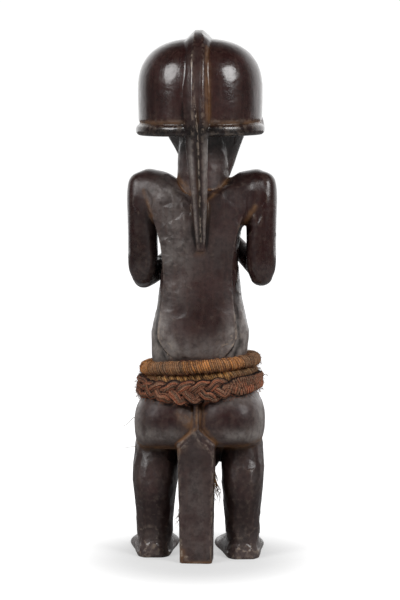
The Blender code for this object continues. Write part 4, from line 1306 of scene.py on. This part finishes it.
def wood_finish():
    """Dark oiled wood: brown black with red patches, a pale grey painted sheen, ochre stains, painted shade
    in the creases, under things and in gaps, and worn edges.
    """
    f = Finish("oiled_wood")
    colour = f.mix(f.band(f.noise(22, 3), 0.40, 0.62), WOOD["dark"], WOOD["brown"])
    colour = f.mix(f.patchy("red", f.noise(50), 0.25, 0.60, 0.7), colour, WOOD["red"])
    # Painted sheen: a pale grey laid on the wood where reflections and lit rims would be.
    painted_sheen = f.patchy("painted_sheen", f.noise(80, 5), 0.35, 0.58, 0.45)
    colour = f.mix(f.maths("MULTIPLY", painted_sheen, 0.80), colour, WOOD["painted_sheen"])
    streaks = f.band(f.noise(170, 5, 0.6, stretch=(1, 1, 0.07)), 0.46, 0.64, 0.0, 0.34)
    colour = f.mix(streaks, colour, WOOD["streak"])
    colour = f.mix(f.band(f.noise(240, 4, 0.65), 0.42, 0.72, 0.0, 0.42), colour, WOOD["mottle"])
    # Painted shade in the creases: near black, with real ochre residue where the ochre patches are.
    crease_dirt_and_shade = f.mix(f.attribute("ochre"), WOOD["crease_dirt_and_shade"], WOOD["ochre_dirt"])
    crease = f.patchy("crease", f.noise(60), 0.3, 0.6, 0.5)
    colour = f.mix(f.band(crease, 0.15, 0.62), colour, crease_dirt_and_shade)
    stain = f.patchy("stain", f.noise(130, 4, 0.6), 0.32, 0.60, 0.30)
    colour = f.mix(stain, colour, WOOD["stain"])
    # Painted shade under the brim, the belt and the buttocks, on the arms and a leg, and in grooves and gaps.
    colour = f.mix(f.patchy("painted_shade", f.noise(90), 0.3, 0.6, 0.6), colour, WOOD["painted_shade"])
    worn = f.patchy("edge", f.noise(220, 5), 0.44, 0.60)
    worn = f.maths("MULTIPLY", worn, f.maths("ADD", f.attribute("wear"), 0.15))
    line = f.patchy("line", f.noise(330, 3, 0.6, stretch=(1, 1, 0.4)), 0.44, 0.54)
    colour = f.mix(f.maths("MAXIMUM", worn, line), colour, WOOD["bare"])
    rough = f.maths("ADD", f.band(f.noise(120), 0.3, 0.7, 0.15, 0.26), f.maths("MULTIPLY", stain, 0.25))
    rough = f.maths("ADD", rough, f.maths("MULTIPLY", f.attribute("dull"), 0.24))
    moved = {"Vector": f.vector("ADD", {0: f.place, 1: f.colour_noise(45, 0.010)}), "Scale": 92}
    cells = f.node("ShaderNodeTexVoronoi", moved, feature="DISTANCE_TO_EDGE").outputs[0]
    height = f.bump(f.band(cells, 0.0, 0.42), f.maths("MULTIPLY", f.attribute("hammered"), 0.60), 0.0024)
    height = f.bump(f.noise(190, 2, 0.5, stretch=(1, 1, 1.6)), 0.10, 0.0014, height)
    height = f.bump(f.noise(430, 3, 0.6), 0.16, 0.0006, height)
    height = f.bump(f.noise(900, 3, 0.6, stretch=(1, 1, 0.08)), 0.30, 0.00012, height)
    return f.set(
        Base_Color=colour, Roughness=rough, Normal=height, IOR=1.45,
        Coat_Weight=f.band(f.attribute("dull"), 0.0, 0.6, 0.35, 0.0), Coat_Roughness=0.10,
    )


def fibre_finish(name):
    """Dry plant fibre: each strand has its own tone between dry and rich, with painted shade down in its
    furrows and between the strands, and some fibres dark throughout.
    """
    f = Finish(name)
    dry, rich, deep = FIBRES[name]
    colour = f.mix(f.attribute("tone"), dry, rich)
    colour = f.mix(f.band(f.noise(70), 0.38, 0.62, 0.0, 0.35), colour, deep)
    colour = f.mix(f.band(f.noise(1300, 3), 0.50, 0.62, 0.0, 0.50), colour, PALE_FIBRE)
    colour = f.mix(f.band(f.noise(1100, 3), 0.52, 0.66, 0.0, 0.60), colour, deep)
    # Painted shade in the furrows and between the strands, and dark whole fibres.
    colour = f.mix(f.attribute("dark_fibre_and_furrow_shade"), colour, deep)
    height = f.bump(f.noise(1400, 3, 0.6), 0.6, 0.00035)
    return f.set(Base_Color=colour, Roughness=0.68, Normal=height, Specular_IOR_Level=0.30)


def rope_line(node):
    """The middle line of a belt solid: its corners' radius and height round the waist, by least squares."""
    corners = places_of(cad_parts[node].data)
    middle = (corners.max(0) + corners.min(0)) / 2
    x, y = corners[:, 0] - middle[0], corners[:, 1] - middle[1]
    angle, radius = np.arctan2(y, x), np.hypot(x, y)

    def waves(turn, most):
        parts = [np.ones_like(turn)]
        for k in range(1, most + 1):
            parts += [np.cos(k * turn), np.sin(k * turn)]
        return np.stack(parts, axis=1)

    wide = np.linalg.lstsq(waves(angle, 8), radius, rcond=None)[0]
    high = np.linalg.lstsq(waves(angle, 4), corners[:, 2], rcond=None)[0]
    turn = np.linspace(0, 2 * math.pi, 4001)
    r, z = waves(turn, 8) @ wide, waves(turn, 4) @ high
    line = np.stack([middle[0] + r * np.cos(turn), middle[1] + r * np.sin(turn), z], axis=1)
    run = np.concatenate([[0], np.cumsum(np.linalg.norm(np.diff(line, axis=0), axis=1))])
    return line, run


def along(line, run, count):
    """Count even steps round the closed line: places, ways on, ways out, ways up and the run so far."""
    at = np.arange(count) / count * run[-1]
    places = np.stack([np.interp(at, run, line[:, i]) for i in range(3)], axis=1)
    way = round_ways(places)
    out = unit(np.cross(way, np.array([[0, 0, 1.0]])))
    return places, way, out, np.cross(out, way), at


def sides_along(line, out):
    """Ways across and outwards for a closed line, its outward side kept close to the one that is given."""
    way = round_ways(line)
    out = unit(out - (out * way).sum(1)[:, None] * way)
    return np.cross(way, out), out


def ring_mesh(name, grid, values):
    """A closed tube on a grid of points that goes round both ways, with a value per point for each name."""
    count, points = grid.shape[:2]
    i, j = np.meshgrid(np.arange(count), np.arange(points), indexing="ij")
    a, b = (i + 1) % count, (j + 1) % points
    quads = np.stack([i * points + j, a * points + j, a * points + b, i * points + b], axis=2).reshape(-1, 4)
    mesh = bpy.data.meshes.new(name)
    mesh.from_pydata(grid.reshape(-1, 3).tolist(), [], quads.tolist())
    for key, value in values.items():
        add_attribute(mesh, key, np.broadcast_to(value, (count, points)).ravel())
    bm = bmesh.new()
    bm.from_mesh(mesh)
    if bm.calc_volume(signed=True) < 0:
        bmesh.ops.reverse_faces(bm, faces=bm.faces)
    bm.to_mesh(mesh)
    bm.free()
    mesh.shade_smooth()
    return mesh


def per_turn(turns, rng):
    """One random value for each whole turn, read at the turn numbers that are given."""
    return rng.random(PHASES)[np.floor(turns).astype(int) % PHASES]


def wrapped_rope(name, node, half, rng, lumps, slant, tones):
    """A rope bound round with strands: a tube whose radius swells once for each turn of the binding.

    The radius is the rope's own, times one plus slow lumps, plus a rounded furrowed profile over the phase
    of the binding, which runs on along the rope and leans by slant turns from one side to the other.
    """
    line, run = rope_line(node)
    wraps = int(run[-1] / WINDING_WIDTH)
    places, _, out, up, at = along(line, run, wraps * STEPS_PER_WINDING)
    c, s = circle(ROPE_SIDES)
    share = at / run[-1]
    wobble = 0.7 * np.sin(2 * math.pi * share * 9 + 1.0) + 0.5 * np.sin(2 * math.pi * share * 23)
    phase = wraps * share[:, None] + slant * s + 0.35 * wobble[:, None]
    turn_tone = per_turn(phase % wraps, rng)
    turn_size = per_turn(phase % wraps + PHASES // 2, rng)
    ridge = np.abs(np.sin(math.pi * phase)) ** 0.7
    knots = rng.normal(0, 1, 40)
    slow = np.interp(share * 40, np.arange(41), np.append(knots, knots[0]))
    size = half(places[:, 0])[:, None] * (1 + lumps * slow[:, None])
    radius = size - WINDING_WIDTH * 0.45 * (1 - ridge) - WINDING_WIDTH * 0.30 * turn_size
    lay = np.sin(2 * math.pi * share[:, None] * int(run[-1] / LAY_LENGTH) + 0.8 * s)
    radius = radius + rng.normal(0, 0.00016, radius.shape) + lumps * 0.010 * lay
    grid = places[:, None] + out[:, None] * (radius * c)[..., None] + up[:, None] * (radius * s)[..., None]
    bright = np.interp(places[:, 0], *np.array(tones).T)[:, None]
    values = {
        "tone": np.clip(bright * (0.35 + 1.1 * turn_tone), 0, 1),
        # Painted shade down in the furrows between the windings, and some turns darker throughout.
        "dark_fibre_and_furrow_shade": np.clip(1.25 - 1.7 * ridge + 0.35 * (turn_tone < 0.25), 0, 1),
    }
    return ring_mesh(name, grid, values)


def upper_half(x):
    return 0 * x + UPPER_SWOLLEN / 2


def middle_half(x):
    pinched = MIDDLE_ROPE_PINCH * np.clip(x / WAIST_HALF_WIDTH, 0, 1) ** 2
    return ROPE_SWELLING * (MIDDLE_ROPE_DIAMETER - pinched) / 2


def plait_half(x):
    return (PLAIT_HEIGHT - PLAIT_PINCH * np.clip(np.abs(x) / WAIST_HALF_WIDTH, 0, 1) ** 3) / 2


def plait_lean(places, height):
    """How far in the plait leans behind, from its lower edge at height -1 to its upper edge at height 1."""
    return PLAIT_LEAN * np.clip(places[:, 1] / 0.03, 0, 1) * np.clip((height + 1) / 2, 0, 1)


def plait_strand(k, rng):
    """One strand of the three-strand plait: a flat tube that weaves up and down and in and out.

    Up and down it follows a sine of the run, a third of a period behind the strand before it, and in and out
    a sine of twice that. Round the left hip the strands lie side by side, as a hank, and round the right one
    they gather in an upper and a lower rope. Fibres are furrows along the strand, and bindings run across it
    on the right.
    """
    line, run = rope_line("belt_plait")
    count, sides = PLAIT_GRID
    places, _, out, up, at = along(line, run, count)
    share = at / run[-1]
    places = places + up * PLAIT_LIFT
    angle = np.arctan2(places[:, 1], places[:, 0])
    waver = 0.10 * np.sin(2 * math.pi * share * 17 + 2.1 * k) + 0.07 * np.sin(2 * math.pi * share * 41 + k)
    hank = np.exp(-((angle / HANK_REACH) ** 4))
    turned_away = np.abs(np.angle(np.exp(1j * (angle - GATHERED_MIDDLE))))
    ropes = np.exp(-((turned_away / GATHERED_REACH) ** 8))
    weave = (1 - hank) * (1 - ropes)
    beat = 2 * math.pi * (PLAIT_CROSSINGS / 3 * share + k / 3)
    half = plait_half(places[:, 0]) * PLAIT_SWELLING
    wide = half * (0.41 * weave + 0.40 * hank + 0.50 * ropes) * (1 + waver)
    swing = weave * (np.sin(beat) * 1.08 + waver) + hank * (k - 1) * 1.15 + ropes * GATHERED_RISE[k]
    rise = (half - wide) * swing
    deep = PLAIT_DEPTH / 2 * (0.56 * weave + 0.80 * hank + 0.95 * ropes)
    depth = (PLAIT_DEPTH / 2 - deep) * (weave * np.sin(2 * beat) + ropes * GATHERED_DEPTH[k])
    depth = depth - plait_lean(places, rise / half)
    middle = places + up * rise[:, None] + out * depth[:, None]
    across, outward = sides_along(middle, out)
    turn = np.arange(sides) * 2 * math.pi / sides
    c, s = circle(sides)
    twist = at[:, None] / TWIST_LENGTH
    plies = np.abs(np.sin(3.5 * turn + 0.8 * twist + k)) ** 0.6 - 0.6
    hairs = np.sin(13 * turn + twist) * np.sin(8 * turn - 1.7 * twist + k)
    hairs = hairs + 0.5 * np.sin(23 * turn + 2 * twist)
    bindings = int(run[-1] / BINDING_WIDTH) * share[:, None] + 0.5 * s
    ridge = np.abs(np.sin(math.pi * bindings))
    bound = ropes[:, None] * 0.9
    fuzz = rng.normal(0, 0.00012, hairs.shape)
    relief = (0.0005 * plies + 0.00030 * hairs + fuzz) * (1 - bound) - 0.0012 * (1 - ridge) * bound
    a = full(c, 2.3) * (wide[:, None] + relief)
    b = full(s, 2.0) * (deep[:, None] + relief)
    grid = middle[:, None] + across[:, None] * a[..., None] + outward[:, None] * b[..., None]
    tone = np.clip(0.40 + 0.35 * np.sin(2 * beat[:, None] + 5 * turn + k) + 0.5 * hairs, 0, 1) * (1 - bound)
    tone = tone + per_turn(bindings, rng) * bound * BINDING_TONE[k]
    lines = np.sin(17 * turn + 1.4 * twist + k) + 0.5 * np.sin(7 * turn - 0.9 * twist)
    # Painted shade down in the plies' furrows and among the low hairs, between the bindings and along the
    # strand's sides where the strands meet, with darker fibre lines.
    dark_fibre_and_furrow_shade = np.clip(-plies, 0, 1) + np.clip(1.3 * lines - 0.55, 0, 0.85)
    dark_fibre_and_furrow_shade = dark_fibre_and_furrow_shade + np.clip(-0.9 * hairs - 0.2, 0, 0.8)
    dark_fibre_and_furrow_shade = dark_fibre_and_furrow_shade * (1 - bound) + np.clip(1.3 - 1.7 * ridge, 0, 1) * bound
    dark_fibre_and_furrow_shade = np.clip(dark_fibre_and_furrow_shade + np.clip((np.abs(c) - 0.72) / 0.2, 0, 1), 0, 1)
    return ring_mesh(f"belt_plait_strand_{k + 1}", grid, {"tone": tone, "dark_fibre_and_furrow_shade": dark_fibre_and_furrow_shade})


def fibre_tubes(name, lines, thick, shade, rng):
    """Loose fibres as thin four-sided tubes along lines, a row of points for each, finer towards the end."""
    count, steps = lines.shape[:2]
    sides = 4
    way = unit(np.gradient(lines, axis=1))
    across = unit(np.cross(way, np.array([0.3, 0.5, 0.81])))
    other = np.cross(way, across)
    taper = np.reshape(thick, (-1, 1, 1, 1)) * (1 - 0.6 * np.linspace(0, 1, steps))[None, :, None, None]
    turn = np.arange(sides)[:, None] * math.pi / 2
    rings = lines[:, :, None] + taper * (across[:, :, None] * np.cos(turn) + other[:, :, None] * np.sin(turn))
    size = steps * sides
    ends = np.array([[3, 2, 1, 0], [size - 4, size - 3, size - 2, size - 1]])
    one = np.concatenate([grid_faces(steps, sides, 0), ends])
    faces = (one[None] + (np.arange(count) * size)[:, None, None]).reshape(-1, 4)
    mesh = bpy.data.meshes.new(name)
    mesh.from_pydata(rings.reshape(-1, 3).tolist(), [], faces.tolist())
    add_attribute(mesh, "tone", np.repeat(rng.random(count), size))
    add_attribute(mesh, "dark_fibre_and_furrow_shade", np.repeat(rng.uniform(*shade, count), size))
    return mesh


def bent(starts, ways, lengths, bends, steps=7):
    """Lines that run on straight from their starts and bend off as parabolas."""
    t = np.linspace(0, 1, steps)[None, :, None]
    return starts[:, None] + ways[:, None] * lengths[:, None, None] * t + bends[:, None] * t**2


def frayed_fibres(rng):
    """Short hairs that stand off the belt or lie across its turns."""
    starts, ways = [], []
    for node, count, high, deep, lift in HAIRS:
        places, way, out, up, _ = along(*rope_line(node), HAIR_STEPS)
        pick = rng.integers(0, HAIR_STEPS, count)
        places, way, out, up = places[pick], way[pick], out[pick], up[pick]
        turn = rng.uniform(-0.6 * math.pi, 0.6 * math.pi, count)[:, None]
        c, s = np.cos(turn), np.sin(turn)
        inward = plait_lean(places, s[:, 0])[:, None] * (node == "belt_plait")
        starts.append(places + up * lift - out * inward + 0.93 * (out * c * (deep / 2) + up * s * (high / 2)))
        on = way * rng.choice([-1, 1], count)[:, None]
        lean = (out * c + up * s) * rng.uniform(0.1, 0.8, count)[:, None]
        ways.append(lean + on + (up * c - out * s) * rng.normal(0, 0.7, count)[:, None])
    starts, ways = np.concatenate(starts), unit(np.concatenate(ways))
    lengths = rng.uniform(*HAIR_LENGTH, len(starts))
    bends = rng.normal(0, 0.0010, (len(starts), 3)) - np.array([0, 0, 0.0006])
    lines = bent(starts, ways, lengths, bends)
    return fibre_tubes("belt_frayed_fibres", lines, HAIR_THICKNESS, HAIR_SHADE, rng)


def hanging_fibres(rng):
    """The longer fibres that have come loose: three on the hips, and curled tufts beside the post.

    A tuft's fibre runs on from its start and curls as a helix whose width grows along it.
    """
    lines = [through(rows, FIBRE_STEPS) * MM for rows in LOOSE_FIBRES]
    t = np.linspace(0, 1, FIBRE_STEPS)[:, None]
    for count, start, reach, wide in TUFTS:
        for _ in range(count):
            phase, turns = rng.uniform(0, 2 * math.pi), rng.uniform(0.8, 2.4)
            angle = phase + 2 * math.pi * turns * t
            x = np.cos(angle) - math.cos(phase)
            y = 0.6 * (np.sin(angle) - math.sin(phase))
            curl = np.hstack([x, y, 0.4 * np.sin(2 * angle)]) * t**0.7 * wide
            line = np.array(start) + rng.normal(0, 1, 3) * np.array([0.3, 3, 3])
            line = line + t * np.array(reach) * rng.uniform(0.5, 1.1)
            lines.append((line + curl * rng.uniform(0.4, 1.0)) * MM)
    thick = np.where(np.arange(len(lines)) < len(LOOSE_FIBRES), LOOSE_THICKNESS, TUFT_THICKNESS)
    return fibre_tubes("belt_hanging_fibres", np.stack(lines), thick, LOOSE_SHADE, rng)


def finish_piece(mesh, finish, slot, *nodes):
    """A piece on the standing body, with its finish, that stands for the nodes that are named."""
    mesh.materials.append(finish)
    piece = link(bpy.data.objects.new(mesh.name, mesh))
    if nodes:
        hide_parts(*nodes)
    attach(piece, "root")


def dress_belt():
    """The wrapped upper and middle ropes, the plait's three strands, and the fibres that stand off them."""
    rng = np.random.default_rng(SEED)
    ochre, brown, rust = (fibre_finish(name) for name in FIBRES)
    rope = wrapped_rope("belt_upper_winding", "belt_upper_rope", upper_half, rng, 0.04, 0.7, UPPER_TONES)
    finish_piece(rope, ochre, "ochre_fibre", "belt_upper_rope")
    rope = wrapped_rope("belt_middle_winding", "belt_middle_rope", middle_half, rng, 0.09, 0.9, MIDDLE_TONES)
    finish_piece(rope, brown, "brown_fibre", "belt_middle_rope")
    finish_piece(plait_strand(0, rng), rust, "rust_fibre", "belt_plait")
    for k in (1, 2):
        finish_piece(plait_strand(k, rng), rust, "rust_fibre")
    finish_piece(frayed_fibres(rng), rust, "rust_fibre")
    finish_piece(hanging_fibres(rng), brown, "brown_fibre")


def main():
    figure = carve_figure()
    figure.data.materials.append(wood_finish())
    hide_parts("figure")
    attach(figure, "root")
    dress_belt()


def stand_camera():
    """The camera at the photograph's place, aimed at the figure's middle."""
    data = bpy.data.cameras.new("camera")
    data.lens = CAMERA_LENS
    data.sensor_width = 36.0
    camera = link(bpy.data.objects.new("camera", data))
    turn = math.radians(CAMERA_AZIMUTH)
    camera.location = (CAMERA_DISTANCE * math.sin(turn), -CAMERA_DISTANCE * math.cos(turn), CAMERA_HEIGHT)
    aim = camera.location - Vector((0, 0, CAMERA_TARGET_Z))
    camera.rotation_euler = aim.to_track_quat("Z", "Y").to_euler()
    bpy.context.scene.camera = camera


def soft_light(name, place, power, width, height):
    data = bpy.data.lights.new(name, "AREA")
    data.shape = "ELLIPSE"
    data.energy, data.size, data.size_y = power, width, height
    lamp = link(bpy.data.objects.new(name, data))
    lamp.location = place
    lamp.rotation_euler = (lamp.location - Vector((0, 0, LIGHTS_AIM_Z))).to_track_quat("Z", "Y").to_euler()


def surround():
    """The studio round the figure: a bright backdrop and sides, and a dim side where the camera stands.

    Its strength goes by the direction in the room: bright towards -Y and down low, dim towards +Y, darker
    overhead. What the camera sees of it directly is plain white.
    """
    world = bpy.data.worlds.new("studio")
    world.use_nodes = True
    n = Nodes(world.node_tree)
    way = n.node("ShaderNodeSeparateXYZ", {0: n.node("ShaderNodeTexCoord").outputs["Generated"]})
    behind = n.band(way.outputs["Y"], *BACKDROP_EDGE, BACKDROP_STRENGTH, CAMERA_SIDE_STRENGTH)
    overhead = n.band(way.outputs["Z"], *OVERHEAD_EDGE, 1.0, OVERHEAD_SHARE)
    seen = n.node("ShaderNodeLightPath").outputs["Is Camera Ray"]
    strength = n.node("ShaderNodeMix", {0: seen, 2: n.maths("MULTIPLY", behind, overhead), 3: SEEN_WHITE})
    ground = n.tree.nodes["Background"]
    n.fill(ground.inputs["Strength"], strength.outputs[0])
    n.fill(ground.inputs["Color"], (1.0, 1.0, 1.0, 1))
    return world


def stand_floor_and_lights():
    """A white floor that glows for the camera, less near the figure: a painted contact shadow round its feet,
    beside the figure's own shadow; and soft boxes.
    """
    floor = bpy.data.meshes.new("floor")
    corners = [(x * FLOOR_HALF_SIZE, y * FLOOR_HALF_SIZE, 0) for x, y in ((-1, -1), (1, -1), (1, 1), (-1, 1))]
    floor.from_pydata(corners, [], [(0, 1, 2, 3)])
    f = Finish("white_floor_with_painted_shadow")
    # The glow grows with the distance from the floor middle: a painted contact shadow round the figure's
    # feet.
    away = f.node("ShaderNodeVectorMath", {0: f.place, 1: FLOOR_PAINTED_SHADOW_MIDDLE}, operation="DISTANCE")
    glow_with_painted_shadow = f.band(away.outputs["Value"], FLOOR_GLOW_START, FLOOR_GLOW_REACH, FLOOR_GLOW_IN_PAINTED_SHADOW, FLOOR_GLOW_FAR)
    glow_with_painted_shadow = f.maths("MULTIPLY", glow_with_painted_shadow, f.node("ShaderNodeLightPath").outputs["Is Camera Ray"])
    floor.materials.append(f.set(
        Base_Color=FLOOR_GREY, Roughness=0.9, Specular_IOR_Level=0.1,
        Emission_Color=(1, 1, 1, 1), Emission_Strength=glow_with_painted_shadow,
    ))
    link(bpy.data.objects.new("floor", floor))
    bpy.context.scene.world = surround()
    for name, place, power, wide, high in SOFT_BOXES:
        soft_light(name, place, power, wide, high)
    bpy.context.scene.view_settings.view_transform = "Standard"


stand_camera()
stand_floor_and_lights()
main()
